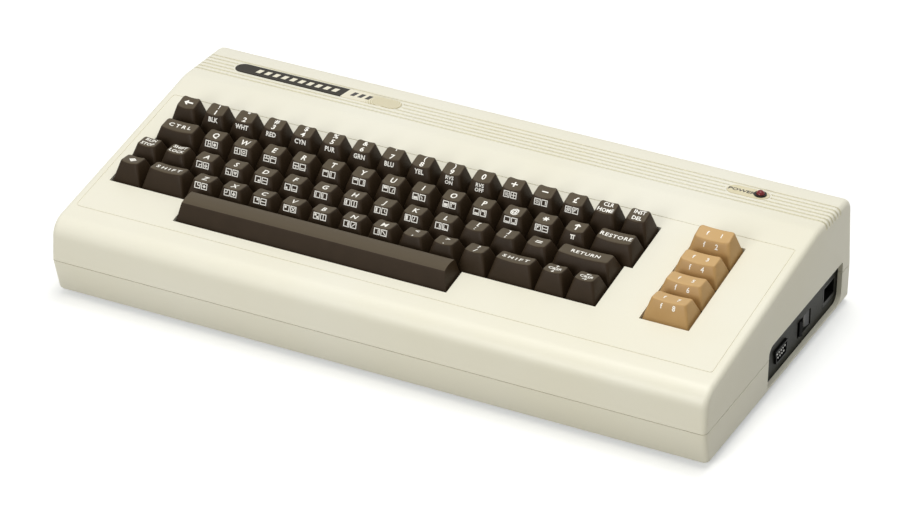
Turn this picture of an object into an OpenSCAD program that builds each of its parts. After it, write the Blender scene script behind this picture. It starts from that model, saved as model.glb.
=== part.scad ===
// Vintage home computer with a built-in keyboard, in a two-part moulded case.
// X runs along the width, Y to the rear and Z up; the origin is on the table,
// below the middle of the case.

/* [Case] */
// Width of the case at the seam
case_w = 405; // [400:1:430]
// Depth of the case at the seam
case_d = 204; // [200:1:215]
// Height of the seam between the two shells above the table
seam_h = 25; // [25:0.5:28]
// Gap between the two shells
seam_gap = 0.4; // [0.2:0.1:0.8]
// Thickness of the case walls
wall = 2.8; // [2.2:0.1:3.2]
// How far each side leans in over its height
draft = 0.2; // [0.1:0.1:1]
// How far the rear wall leans in over its height
rear_lean = 2.8; // [2:0.1:3.5]
// Radius of the top edges
edge_r = 3.5; // [2.5:0.1:4]
// Radius of the corners seen from above
corner_r = 3; // [2.5:0.1:4]
// Radius of the rounded front
nose_r = 12; // [10:0.5:13]
// Radius of the edge between top and rear
rear_r = 8; // [5:0.5:9]
// Radius of the bottom edges
base_r = 2.5; // [2:0.1:3.5]
// How far the front of the lower shell leans back towards the base
base_lean = 5; // [4:0.2:6]
// Thickness of the floor
floor_t = 2.5; // [2:0.1:3]

/* [Top] */
// Height of the keyboard deck above the seam, in the middle of the case
deck_rise = 39.5; // [38:0.5:42]
// Slope of the keyboard deck
deck_tilt = 8.5; // [8:0.1:9]
// Distance of the ridge from the rear of the case
ridge_back = 51; // [49:0.5:53]
// Fall of the ridge towards the rear
ridge_fall = 3; // [2:0.5:4]
// Width of the fine groove round the keyboard panel
panel_line = 0.5; // [0.4:0.1:0.8]
// Distance of that groove from the sides of the case
panel_margin = 5.4; // [5:0.2:7]
// Distance of the panel's front edge from the front of the case, along the deck
panel_front_gap = 18.5; // [17.5:0.5:20]
// Rear edge of the panel along the deck
panel_rear = 30.7; // [29:0.5:32]

/* [Ridge] */
// Number of grooves along the ridge
groove_n = 6; // [4:1:6]
// Distance between the grooves
groove_pitch = 4; // [3.8:0.1:4.2]
// Distance of the first groove behind the ridge
groove_first = 10.5; // [9.5:0.5:11]
// Width of a groove
groove_w = 1.6; // [1.2:0.1:2]
// Depth of a groove
groove_depth = 0.8; // [0.5:0.1:1]
// How far the grooves run down the sides
groove_drop = 4.6; // [4:0.2:6]
// Distance of the badges behind the ridge
badge_y = 23; // [22:0.5:24]
// Middle of the name badge along the width
badge_x = -124.8; // [-130:0.2:-120]
// Length of the name badge
badge_l = 109; // [100:1:112]
// Height of the name badge
badge_h = 10.8; // [10:0.2:11.4]
// Thickness of the badges
badge_t = 1; // [0.8:0.1:1.2]
// Depth of the pockets for the badges
badge_sink = 0.6; // [0.4:0.1:0.7]
// Flat rim left round each badge
badge_rim = 1.2; // [0.8:0.1:1.6]
// Middle of the lamp badge along the width
lamp_badge_x = 149.2; // [147:0.2:151]
// Length of the lamp badge
lamp_badge_l = 25.4; // [24:0.2:27]
// Height of the lamp badge
lamp_badge_h = 10.4; // [10:0.2:11]
// Place of the lamp along the width
lamp_x = 156.6; // [155.6:0.2:156.8]
// Radius of the lamp
lamp_r = 2.5; // [2.3:0.1:2.6]
// Height of the lamp's dome above the ridge
lamp_proud = 3.2; // [2.8:0.2:3.6]

/* [Keyboard] */
// Distance from key to key
pitch = 19.05; // [19:0.05:19.1]
// Left edge of the first key cell of the number row
keys_left = -185.25; // [-186.5:0.25:-184]
// Rear edge of the number row along the deck
keys_rear = 20.7; // [20:0.1:21.5]
// Left edge of the function keys
function_left = 141.8; // [141:0.2:143]
// Width of the function keys, in key cells
function_units = 1.5; // [1.5:0.05:1.6]
// Gap between a key and the edge of its cell
key_gap = 0.4; // [0.35:0.05:0.5]
// Gap between the key cells and the edge of the opening
aperture_gap = 0.5; // [0.4:0.1:0.8]
// How far a key is pressed down
key_travel = 4; // [3:0.2:4.2]
// Depth of the key's lower edge below the deck
key_sink = 2; // [1.6:0.1:2.4]
// Height of the front edge of the key tops, rear row first
key_front_1 = 11.6; // [11:0.1:12]
// Height of that edge on the second row
key_front_2 = 9.9; // [9.5:0.1:10.4]
// Height of that edge on the third row
key_front_3 = 9.8; // [9.4:0.1:10.2]
// Height of that edge on the fourth row
key_front_4 = 11.1; // [10.6:0.1:11.4]
// How far the key tops lie behind the front of the cell
key_setback = 6.5; // [6:0.1:7]
// Depth of the key tops
key_top_d = 9.8; // [9.4:0.1:10.4]
// How much narrower a key top is than its cell
key_top_in = 7.8; // [7.4:0.1:8.4]
// Depth of the dish in the key tops
key_dish = 0.7; // [0.5:0.1:0.9]
// Thickness of the key walls
key_wall = 1.4; // [1.2:0.1:1.6]
// Radius of the key plungers
plunger_r = 2; // [1.8:0.1:2.1]
// Clearance of a plunger in its guide
plunger_gap = 0.1; // [0.08:0.02:0.16]
// Depth of the keyboard frame's upper face below the deck
frame_depth = 8; // [7.8:0.1:8.4]
// Thickness of the keyboard frame's plate
frame_t = 2; // [1.8:0.1:2.2]
// Height of the guides above the plate
guide_up = 3; // [2.6:0.1:3.2]
// Depth of the switch board below the plate
board_gap = 6.3; // [6:0.1:6.8]
// Thickness of the switch board
switch_board_t = 1.6; // [1.4:0.1:1.8]
// Length of the space bar, in key cells
space_units = 9; // [9:1:9]
// Radius of the space bar's wire
wire_r = 0.8; // [0.7:0.05:0.85]
// Length of the arms of the space bar's wire
wire_arm = 10; // [9.5:0.25:10.5]

/* [Side opening] */
// Length of the opening in the right side
side_l = 105.5; // [104:0.5:107]
// Distance of its rear edge from the rear of the case
side_rear_gap = 13; // [12:0.5:14]
// Height of its lower edge
side_low = 6; // [5.8:0.2:7]
// Height of its upper edge
side_high = 32; // [31:0.5:33]
// Depth of the dark panel behind the side of the case
side_depth = 3.4; // [3.2:0.1:3.8]
// Thickness of the dark panel
side_panel_t = 2; // [1.6:0.1:2.4]
// Distance of the control port behind the front edge of the opening
port_in = 23.5; // [21:0.5:25]
// Distance of the power switch behind that edge
switch_in = 58.5; // [57:0.5:61]
// Distance of the power inlet in front of the opening's rear edge
inlet_in = 11; // [10.5:0.5:13]
// Swing of the rocker to each side
rocker_swing = 8; // [6:1:9]

/* [Circuit board] */
// Height of the board's lower face above the floor of the case
board_lift = 3.5; // [3.2:0.1:4]
// Thickness of the board
board_t = 1.6; // [1.4:0.1:1.8]
// Left edge of the board
board_left = -172; // [-174:1:-170]
// Gap between the board and the dark side panel
board_side_gap = 3.1; // [2.6:0.1:6]
// Front edge of the board
board_front = -62; // [-64:1:-60]
// Distance of the board's rear edge from the rear of the case
board_rear_gap = 14; // [13:0.5:16]

/* [Rear openings] */
// Middle of the cartridge opening along the width
cartridge_x = 112; // [110:1:114]
// Width of the cartridge opening
cartridge_w = 104; // [102:1:106]
// Height of its lower edge above the table
cartridge_low = 5.8; // [5.6:0.1:6.4]
// Place of the video socket along the width
video_x = 38; // [36:1:40]
// Place of the serial socket along the width
serial_x = 12; // [10:1:13]
// Radius inside the round sockets
din_r = 6.9; // [6.8:0.05:7]
// Depth of the round sockets
din_depth = 9; // [8:0.5:9.5]
// Middle of the tape connector along the width
tape_x = -36; // [-40:1:-32]
// Width of the tape connector's opening
tape_w = 34; // [32:1:36]
// Middle of the user connector along the width
user_x = -112; // [-116:1:-108]
// Width of the user connector's opening
user_w = 60; // [58:1:62]

/* [Feet and screws] */
// Height of the feet below the case
foot_h = 3; // [2.6:0.1:3.2]
// Radius of the feet
foot_r = 7; // [6:0.5:8]
// Distance of the feet from the sides of the case
foot_side_gap = 37.5; // [32:0.5:43]
// Distance of the feet from its front and rear
foot_end_gap = 22; // [20:0.5:26]
// Distance of the outer case screws from the sides of the case
screw_side_gap = 52.5; // [50:0.5:55]
// Distance of the case screws from its front
screw_front_gap = 12.5; // [12:0.1:13.5]

/* [Hidden] */

$fn = 32;
cream = "#eeecdc";
dark = "#3b3129";
tan_key = "#c9a26b";
black = "#25251f";
steel = "#b8bcc0";
board_green = "#2f6b3c";
fit = 0.3;
eps = 0.01;
steps = 5;

function arc(c, r, a0, a1, n) =
    [for (i = [0:n]) let (a = a0 + (a1 - a0) * i / n) [c[0] + r * cos(a), c[1] + r * sin(a)]];
function rounded_rect(w, d, r) = concat(
    arc([w / 2 - r, d / 2 - r], r, 0, 90, steps), arc([r - w / 2, d / 2 - r], r, 90, 180, steps),
    arc([r - w / 2, r - d / 2], r, 180, 270, steps), arc([w / 2 - r, r - d / 2], r, 270, 360, steps));

// ---- The form of the case ----
// Heights in this part are measured from the seam.
function deck_z(y) = deck_rise + y * tan(deck_tilt);
half_w = case_w / 2;
half_d = case_d / 2;
top_half_w = half_w - draft;
ridge_y = half_d - ridge_back;
ridge_z = deck_z(ridge_y);
blend_r = 30;
blend_half = (deck_tilt + ridge_fall) / 2;
blend_mid = 90 + (deck_tilt - ridge_fall) / 2;
front_y = 0.4 - half_d;
rear_y = half_d - rear_lean;
nose_c = [front_y + nose_r, deck_z(front_y + nose_r) - nose_r / cos(deck_tilt)];
blend_c = [ridge_y - cos(blend_mid) * blend_r / cos(blend_half),
    ridge_z - sin(blend_mid) * blend_r / cos(blend_half)];
rear_c = [rear_y - rear_r,
    ridge_z - (rear_y - rear_r - ridge_y) * tan(ridge_fall) - rear_r / cos(ridge_fall)];
side_profile = concat([[front_y, seam_gap / 2]],
    arc(nose_c, nose_r, 180, 90 + deck_tilt, 12),
    arc(blend_c, blend_r, 90 + deck_tilt, 90 - ridge_fall, 3),
    arc(rear_c, rear_r, 90 - ridge_fall, 0, 6), [[rear_y, seam_gap / 2]]);

// Places a child on the sloping deck: X to the right, Y up the slope, Z out of it.
module on_deck() translate([0, 0, seam_h + deck_rise]) rotate([deck_tilt, 0, 0]) children();
// Places a child on the ridge, with Y running down to the rear.
module on_ridge() translate([0, ridge_y, seam_h + ridge_z]) rotate([-ridge_fall, 0, 0]) children();

module side_slice(x, inset)
    translate([x, 0, seam_h]) rotate([90, 0, 90]) linear_extrude(2 * eps, center = true)
        offset(delta = -inset) polygon(side_profile);

module top_form() hull() {
    for (side = [-1, 1], k = [0:4])
        side_slice(side * (top_half_w - edge_r * (1 - sin(22.5 * k))),
            edge_r * (1 - cos(22.5 * k)));
    translate([0, 0, seam_h + seam_gap / 2]) linear_extrude(2 * eps)
        polygon(rounded_rect(case_w, case_d, corner_r));
}

module top_hollow() hull() {
    for (side = [-1, 1]) side_slice(side * (top_half_w - wall), wall);
    translate([0, 0, seam_h - 1]) linear_extrude(1 + seam_gap / 2)
        polygon(rounded_rect(case_w - 2 * wall, case_d - 2 * wall, 1));
}

// An outline of the lower shell; lean moves its front edge back.
module base_ring(z, inset, lean, r) translate([0, lean / 2, z]) linear_extrude(2 * eps)
    polygon(rounded_rect(case_w - 2 * inset, case_d - 2 * inset - lean, r));

floor_z = foot_h + floor_t;

module bottom_form() hull() {
    base_ring(seam_h - seam_gap / 2 - 2 * eps, 0, 0, corner_r);
    for (k = [0:4]) base_ring(foot_h + base_r * (1 - sin(22.5 * k)),
        draft + base_r * (1 - cos(22.5 * k)), base_lean, corner_r);
}

module bottom_hollow() hull() {
    base_ring(seam_h, wall, 0, 1);
    base_ring(floor_z, draft + wall, base_lean, 1);
}

// A flat pill, as the badges and their pockets have.
module pill(l, h, t) {
    for (s = [-1, 1]) translate([s * (l - h) / 2, 0, 0]) cylinder(h = t, r = h / 2, $fn = 48);
    translate([(h - l) / 2, -h / 2, 0]) cube([l - h, h, t]);
}

panel_front = panel_front_gap - half_d;
panel_face = half_w - side_depth;
panel_back = panel_face - side_panel_t;
side_rear = half_d - side_rear_gap;
side_front = side_rear - side_l;
port_y = side_front + port_in;
switch_y = side_front + switch_in;
inlet_y = side_rear - inlet_in;

// ---- The keyboard layout ----
// Rows count from the rear; a place is given in key cells from the left.
function row_y(row) = keys_rear - pitch * (row + 0.5);
function cell_x(left, units) = keys_left + pitch * (left + units / 2);
function_x = function_left + pitch * function_units / 2;
key_front = [key_front_1, key_front_2, key_front_3, key_front_4];
// The key tops form a hollow curve: the rear row leans forward, the front row back.
key_rise = [1.2, -0.4, -1.7, -2.6];
space_row = 4;
space_left = 2.5;
space_x = cell_x(space_left, space_units);
space_front = row_y(space_row) - pitch / 2 - 0.5;

rows = [
    [for (i = [0:15]) [i, 1]],
    concat([[0, 1.5]], [for (i = [0:12]) [1.5 + i, 1]], [[14.5, 1.5]]),
    concat([for (i = [0:13]) [i - 0.25, 1]], [[13.75, 2]]),
    concat([[-0.25, 1], [0.75, 1.5]], [for (i = [0:9]) [2.25 + i, 1]],
        [[12.25, 1.5], [13.75, 1], [14.75, 1]])];
// The middle of every key: the rows, the space bar and the function keys.
key_spots = concat([for (r = [0:3]) for (k = rows[r]) [cell_x(k[0], k[1]), row_y(r)]],
    [[space_x, row_y(space_row)]], [for (r = [0:3]) [function_x, row_y(r)]]);

rim = -key_sink;
plunger_tip = -frame_depth - frame_t - board_gap + key_travel + fit;
// Below each cap a cup takes the spring; the plunger's peg fits a bore in its end.
cup_low = -frame_depth + guide_up + key_travel + fit;
cup_deep = 5.7;
cup_top = cup_low + cup_deep;
spring_out = 2.9;
cup_r = 4.2;
peg_r = 1.5;
peg_l = 2.5;
spring_gap = 0.2;
peg_gap = 0.05;
module cup() translate([0, 0, cup_low]) cylinder(h = 20, r = cup_r);
module cup_bore() {
    translate([0, 0, cup_low - 1]) cylinder(h = cup_deep + 1, r = spring_out + spring_gap);
    translate([0, 0, cup_top - 1]) cylinder(h = peg_l + 1 + 2 * peg_gap, r = peg_r + peg_gap);
}

// A key cap with a thin wall, a dished top and a socket for its plunger.
module cap(units, row, shade) {
    w = pitch * units - 2 * key_gap;
    d = pitch - 2 * key_gap;
    top_w = pitch * units - key_top_in;
    front = key_front[row];
    rise = key_rise[row];
    top_front = key_setback - pitch / 2;
    roof = min(front, front + rise) - key_dish - key_wall;
    slope = (key_top_in / 2 - key_gap) / (front + key_sink);
    in_w = w / 2 - key_wall;
    in_d = d / 2 - key_wall;
    in_top = in_w - slope * (roof + key_sink);
    in_front = top_front + key_wall;
    in_rear = top_front + key_top_d - key_wall;
    dish_w = top_w - 1.6;
    dish_r = (dish_w * dish_w / 4 + key_dish * key_dish) / (2 * key_dish);
    color(shade) difference() {
        hull() {
            for (x = [-1, 1], y = [-1, 1]) translate([x * (w / 2 - 1), y * (d / 2 - 1), rim])
                cylinder(h = 0.6, r = 1, $fn = 16);
            translate([0, top_front, front]) rotate([atan(rise / key_top_d), 0, 0])
                for (x = [-1, 1], y = [1.6, key_top_d - 1.6])
                    translate([x * (top_w / 2 - 1.6), y, -0.5]) cylinder(h = 0.5, r = 1.6, $fn = 16);
        }
        difference() {
            intersection() {
                rotate([90, 0, 0]) linear_extrude(pitch, center = true) polygon(
                    [[-in_w, rim - 1], [in_w, rim - 1], [in_w, rim], [in_top, roof],
                    [-in_top, roof], [-in_w, rim]]);
                rotate([90, 0, 90]) linear_extrude(w, center = true) polygon(
                    [[-in_d, rim - 1], [in_d, rim - 1], [in_d, rim], [in_rear, roof],
                    [in_front, roof], [-in_d, rim]]);
            }
            cup();
        }
        cup_bore();
        translate([0, top_front, front]) rotate([atan(rise / key_top_d), 0, 0])
            translate([0, -2, dish_r - key_dish]) rotate([-90, 0, 0])
                cylinder(h = key_top_d + 4, r = dish_r, $fn = 64);
    }
}

// The plunger that slides in the frame, with a peg that holds the cap.
module plunger() color(black) {
    translate([0, 0, plunger_tip]) cylinder(h = cup_top - plunger_tip, r = plunger_r);
    translate([0, 0, cup_top - eps]) cylinder(h = peg_l - fit, r = peg_r);
}

module key_at(x, row, units, shade)
    on_deck() translate([x, row_y(row), 0]) {
        cap(units, row, shade);
        plunger();
    }

// Keys are given as [row, left edge, width] in key cells.
module keys(list) for (k = list) key_at(cell_x(k[1], k[2]), k[0], k[2], dark);
module function_key(row) key_at(function_x, row, function_units, tan_key);

module key_left_arrow() keys([[0, 0, 1]]);
module key_clear_home() keys([[0, 14, 1]]);
module key_insert_delete() keys([[0, 15, 1]]);
module key_ctrl() keys([[1, 0, 1.5]]);
module key_restore() keys([[1, 14.5, 1.5]]);
module key_run_stop() keys([[2, -0.25, 1]]);
module key_shift_lock() keys([[2, 0.75, 1]]);
module key_return() keys([[2, 13.75, 2]]);
module key_symbol() keys([[3, -0.25, 1]]);
module key_left_shift() keys([[3, 0.75, 1.5]]);
module key_right_shift() keys([[3, 12.25, 1.5]]);
module key_cursor_down() keys([[3, 13.75, 1]]);
module key_cursor_right() keys([[3, 14.75, 1]]);
module key_f1() function_key(0);
module key_f3() function_key(1);
module key_f5() function_key(2);
module key_f7() function_key(3);
// Character keys that share a line of the switch matrix, left hand and right hand.
module keys_1_3_5() keys([[0, 1, 1], [0, 3, 1], [0, 5, 1]]);
module keys_7_9_plus_pound() keys([[0, 7, 1], [0, 9, 1], [0, 11, 1], [0, 13, 1]]);
module keys_2_4() keys([[0, 2, 1], [0, 4, 1]]);
module keys_6_8_0_minus() keys([[0, 6, 1], [0, 8, 1], [0, 10, 1], [0, 12, 1]]);
module keys_q_e_t() keys([[1, 1.5, 1], [1, 3.5, 1], [1, 5.5, 1]]);
module keys_u_o_at_up() keys([[1, 7.5, 1], [1, 9.5, 1], [1, 11.5, 1], [1, 13.5, 1]]);
module keys_w_r() keys([[1, 2.5, 1], [1, 4.5, 1]]);
module keys_y_i_p_star() keys([[1, 6.5, 1], [1, 8.5, 1], [1, 10.5, 1], [1, 12.5, 1]]);
module keys_a_d_g() keys([[2, 1.75, 1], [2, 3.75, 1], [2, 5.75, 1]]);
module keys_j_l_semicolon() keys([[2, 7.75, 1], [2, 9.75, 1], [2, 11.75, 1]]);
module keys_s_f() keys([[2, 2.75, 1], [2, 4.75, 1]]);
module keys_h_k_colon_equals() keys([[2, 6.75, 1], [2, 8.75, 1], [2, 10.75, 1], [2, 12.75, 1]]);
module keys_z_c_b() keys([[3, 2.25, 1], [3, 4.25, 1], [3, 6.25, 1]]);
module keys_m_point() keys([[3, 8.25, 1], [3, 10.25, 1]]);
module keys_x_v() keys([[3, 3.25, 1], [3, 5.25, 1]]);
module keys_n_comma_slash() keys([[3, 7.25, 1], [3, 9.25, 1], [3, 11.25, 1]]);

// ---- Space bar ----
space_w = pitch * space_units - 2 * key_gap;
space_d = pitch - 2 * key_gap;
space_h = 9.3;
space_lean = 4.2;
space_r = 28;
space_wall = key_wall + 0.2;
// The bar's wire turns in clips on the frame, which stay clear of the bar's leaning rear wall.
clip_rear = space_d / 2 - space_wall - 2 * fit;
clip_wall = 0.7;
wire_y = clip_rear - clip_wall - wire_r;
wire_z = -frame_depth + wire_r + 2.2;
wire_turn = asin(key_travel / 2 / wire_arm);
hook_x = space_w / 2 - 22;
hook_l = 5;
hook_z = wire_z + key_travel / 2;
hook_y = wire_y - wire_arm * cos(wire_turn);
// Two posts of the bar grip the wire's ends, beside its arms and clear of the frame.
post_x = hook_x + wire_r + fit;
post_w = 3;
post_wall = 1;
post_low = -frame_depth + key_travel + fit;
post_gap = 0.25;
post_bore = wire_r + post_gap;

// The bar's cross-section: upright back, sloping front and a gently round top.
function space_section(inset) = let (
    f = inset - space_d / 2, b = space_d / 2 - inset, top = space_h - inset,
    tf = f + space_lean + 0.8, tb = b - 1.6, sag = 0.9)
    concat([[b, rim], [f, rim], [tf - 0.8, top - 1.3]],
        [for (i = [0:8]) let (t = i / 8) [tf + (tb - tf) * t, top + sag * (4 * t * (1 - t) - 0.6 * t)]],
        [[tb + 0.6, top - 1.6]]);
module space_body(inset) intersection() {
    rotate([90, 0, 90]) linear_extrude(space_w, center = true) polygon(space_section(inset));
    rotate([90, 0, 0]) linear_extrude(2 * space_d, center = true) polygon([
        [inset - space_w / 2, rim], [space_w / 2 - inset, rim],
        [space_w / 2 - inset - 2.9, space_h + 1.5], [2.9 + inset - space_w / 2, space_h + 1.5]]);
}
module wire_posts(top) for (s = [-1, 1])
    translate([s * (post_x + post_w / 2), hook_y, (post_low + top) / 2])
        cube([post_w, 2 * (post_bore + post_wall), top - post_low], center = true);
module space_bar() {
    color(dark) on_deck() translate([space_x, row_y(space_row), 0]) difference() {
        union() {
            difference() {
                space_body(0);
                difference() {
                    translate([0, 0, -eps]) space_body(space_wall);
                    cup();
                    wire_posts(20);
                    for (x = [-56, -28, 28, 56]) translate([x - 0.7, -space_d, rim + 6])
                        cube([1.4, 2 * space_d, 20]);
                }
            }
            wire_posts(rim + 3);
        }
        cup_bore();
        for (s = [-1, 1]) translate([s * (post_x + post_w / 2), hook_y, hook_z])
            rotate([0, 90, 0]) cylinder(h = post_w + 1, r = post_bore, center = true);
    }
    on_deck() translate([space_x, row_y(space_row), 0]) plunger();
}

// The bent wire that keeps the space bar level.
module space_bar_wire() color(steel)
    on_deck() translate([space_x, row_y(space_row) + wire_y, wire_z]) {
        translate([-hook_x, 0, 0]) rotate([0, 90, 0]) cylinder(h = 2 * hook_x, r = wire_r);
        for (s = [-1, 1]) translate([s * hook_x, 0, 0]) rotate([-wire_turn, 0, 0]) {
            sphere(r = wire_r);
            rotate([90, 0, 0]) cylinder(h = wire_arm, r = wire_r);
            translate([0, -wire_arm, 0]) {
                sphere(r = wire_r);
                rotate([0, s * 90, 0]) cylinder(h = hook_l, r = wire_r);
            }
        }
    }

// ---- Keyboard frame, switch board and springs ----
frame_left = keys_left - 0.25 * pitch - 4;
frame_right = function_left + pitch * function_units + 5;
frame_rear = keys_rear + 10.5;
frame_front = space_front - 11.5;
skirt_front = space_front - 4;
skirt_rear = keys_rear + 3.5;
skirt_t = 2;
board_top = -frame_depth - frame_t - board_gap;
guide_r = 4;
// Screws that hold the frame under the deck: three behind the keys, two in front.
frame_screws = [[-150, keys_rear + 7], [-20, keys_rear + 7], [128, keys_rear + 7],
    [-165, space_front - 8], [100, space_front - 8]];
frame_screw_r = 1.25;
clip_x = [-60, 60];
rib_t = 1.2;
rib_h = 2;
plate_low = -frame_depth - frame_t;

module keyboard_frame() color(black) on_deck() {
    difference() {
        union() {
            translate([frame_left, frame_front, -frame_depth - frame_t])
                cube([frame_right - frame_left, frame_rear - frame_front, frame_t]);
            for (p = key_spots) translate([p[0], p[1], -frame_depth - frame_t - 1.5])
                cylinder(h = frame_t + 1.5 + guide_up, r = guide_r);
            // Skirt that carries the switch board
            translate([0, 0, board_top]) linear_extrude(board_gap + eps) difference() {
                translate([frame_left, skirt_front])
                    square([frame_right - frame_left, skirt_rear - skirt_front]);
                translate([frame_left + skirt_t, skirt_front + skirt_t])
                    square([frame_right - frame_left - 2 * skirt_t,
                        skirt_rear - skirt_front - 2 * skirt_t]);
            }
            // Stiffening ribs between the rows
            for (r = [0:3])
                translate([frame_left + eps, row_y(r) - (pitch + rib_t) / 2, plate_low - rib_h])
                    cube([frame_right - frame_left - 2 * eps, rib_t, rib_h + eps]);
            // Bearings of the space bar's wire
            for (x = clip_x)
                translate([space_x + x - 2, row_y(space_row) + wire_y - 2, -frame_depth - eps])
                    cube([4, clip_rear - wire_y + 2, wire_z + frame_depth + 2]);
        }
        for (p = key_spots) translate([p[0], p[1], -frame_depth - 8])
            cylinder(h = 16, r = plunger_r + plunger_gap);
        for (p = frame_screws) translate([p[0], p[1], -frame_depth - frame_t - 1])
            cylinder(h = frame_t + 2, r = frame_screw_r + fit);
        translate([space_x - 70, row_y(space_row) + wire_y, wire_z]) rotate([0, 90, 0])
            cylinder(h = 140, r = wire_r + 0.05);
    }
}

module keyboard_board() color("#5a4a2a") on_deck() difference() {
    translate([frame_left + 0.5, skirt_front + 0.5, board_top - switch_board_t])
        cube([frame_right - frame_left - 1, skirt_rear - skirt_front - 1, switch_board_t]);
    for (x = [frame_left + 1, frame_right - 1], y = [-50, -25, 0]) translate([x, y, board_top - 3])
        cylinder(h = 5, r = 1);
}

spring_low = -frame_depth + guide_up;
spring_len = cup_top - key_travel - spring_low - fit;
spring_turns = 4;
// Each spring stands on its guide inside the key's cup. It has the length it takes with
// the key down, and the zigzag outline of its turns.
module key_spring() {
    half = spring_len / spring_turns / 2;
    rotate_extrude($fn = 24) polygon(concat(
        [for (i = [0:2 * spring_turns]) [spring_out - (i % 2 == 0 ? 0 : 0.25), i * half]],
        [for (i = [2 * spring_turns:-1:0]) [spring_out - (i % 2 == 0 ? 0.4 : 0.65), i * half]]));
}
module key_springs() color(steel) on_deck()
    for (p = key_spots) translate([p[0], p[1], spring_low]) key_spring();

// ---- Badges and lamp ----
module name_badge() color("#33302c") on_ridge()
    translate([badge_x, badge_y, -badge_sink]) pill(badge_l, badge_h, badge_t);

holder_r = 3.6;
sleeve_r = lamp_r + 0.7;
module lamp_plate() color("#c9bd97") on_ridge() difference() {
    translate([lamp_badge_x, badge_y, -badge_sink]) pill(lamp_badge_l, lamp_badge_h, badge_t - 0.2);
    translate([lamp_x, badge_y, -badge_sink - 1]) cylinder(h = 4, r = sleeve_r + 0.1);
}

plate_top = badge_t - 0.2 - badge_sink;
module lamp_holder() color(black) on_ridge() translate([lamp_x, badge_y, 0]) difference() {
    union() {
        translate([0, 0, plate_top]) cylinder(h = 0.9, r = holder_r);
        translate([0, 0, -wall - 4]) cylinder(h = wall + 4.2 + plate_top, r = sleeve_r);
        translate([0, 0, -wall - 2.6]) cylinder(h = 1.8, r1 = sleeve_r, r2 = sleeve_r + 0.5);
    }
    translate([0, 0, -wall - 5]) cylinder(h = wall + 9, r = lamp_r + 0.05);
}

module power_lamp() color("#b0121a") on_ridge() translate([lamp_x, badge_y, 0]) {
    translate([0, 0, -wall - 3]) cylinder(h = wall + 3 + lamp_proud - lamp_r, r = lamp_r);
    translate([0, 0, lamp_proud - lamp_r]) sphere(r = lamp_r);
    translate([0, 0, -wall - 5]) cylinder(h = 1, r = lamp_r + 0.4);
    translate([0, 0, -wall - 4.1]) cylinder(h = 1.2, r = lamp_r);
    for (s = [-1, 1]) translate([s * 1.2, 0, -wall - 9]) cylinder(h = 4.1, r = 0.3);
}

// ---- Circuit board and what stands on it ----
board_z = floor_z + board_lift;
board_up = board_z + board_t;
board_right = panel_back - board_side_gap;
board_rear = half_d - board_rear_gap;
tab_l = 9;
tape_tab = tape_w - 8;
user_tab = user_w - 10;
board_posts = [[-164, -50], [-164, board_rear - 18], [0, -54], [0, 10],
    [board_right - 22, -54], [-60, board_rear - 12]];
post_hole = 1.6;

module main_board() color(board_green) difference() {
    union() {
        translate([board_left, board_front, board_z])
            cube([board_right - board_left, board_rear - board_front, board_t]);
        translate([tape_x - tape_tab / 2, board_rear - eps, board_z]) cube([tape_tab, tab_l, board_t]);
        translate([user_x - user_tab / 2, board_rear - eps, board_z]) cube([user_tab, tab_l, board_t]);
    }
    for (p = board_posts) translate([p[0], p[1], board_z - 1]) cylinder(h = 4, r = post_hole);
    // Keying slots in the edge connectors
    translate([tape_x - 5.5, board_rear + 1, board_z - 1]) cube([1, tab_l, 4]);
    for (s = [-1, 1]) translate([user_x + s * 17, board_rear + 1, board_z - 1]) cube([1, tab_l, 4]);
}

// A dual-in-line chip: body with an end notch, on two rows of legs.
module chip(l, w) {
    difference() {
        translate([-l / 2, -w / 2, 0.8]) cube([l, w, 3.6]);
        translate([-l / 2, 0, 3.4]) cylinder(h = 2, r = 1.5);
    }
    for (s = [-1, 1]) translate([-l / 2 + 1, s * (w / 2 + 0.4) - 0.4, 0]) cube([l - 2, 0.8, 2.4]);
}
big_chips = [[-130, 40], [-130, 10], [-60, 40], [-60, 10], [20, 40]];
rom_chips = [[20, 10], [64, 10], [64, 40]];
small_chips = [for (x = [-140:28:84]) [x, -20]];
module chips() color("#1d1d1f") translate([0, 0, board_up]) {
    for (p = big_chips) translate([p[0], p[1], 0]) chip(52, 13.6);
    for (p = rom_chips) translate([p[0], p[1], 0]) chip(32, 13.6);
    for (p = small_chips) translate([p[0], p[1], 0]) rotate([0, 0, 90]) chip(23, 6.6);
}

header_x = -10;
header_y = -45;
module can(x, y, r, h) translate([x, y, 0]) {
    cylinder(h = h, r = r);
    translate([0, 0, h - eps]) cylinder(h = 0.4, r = r - 0.8);
}
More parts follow.
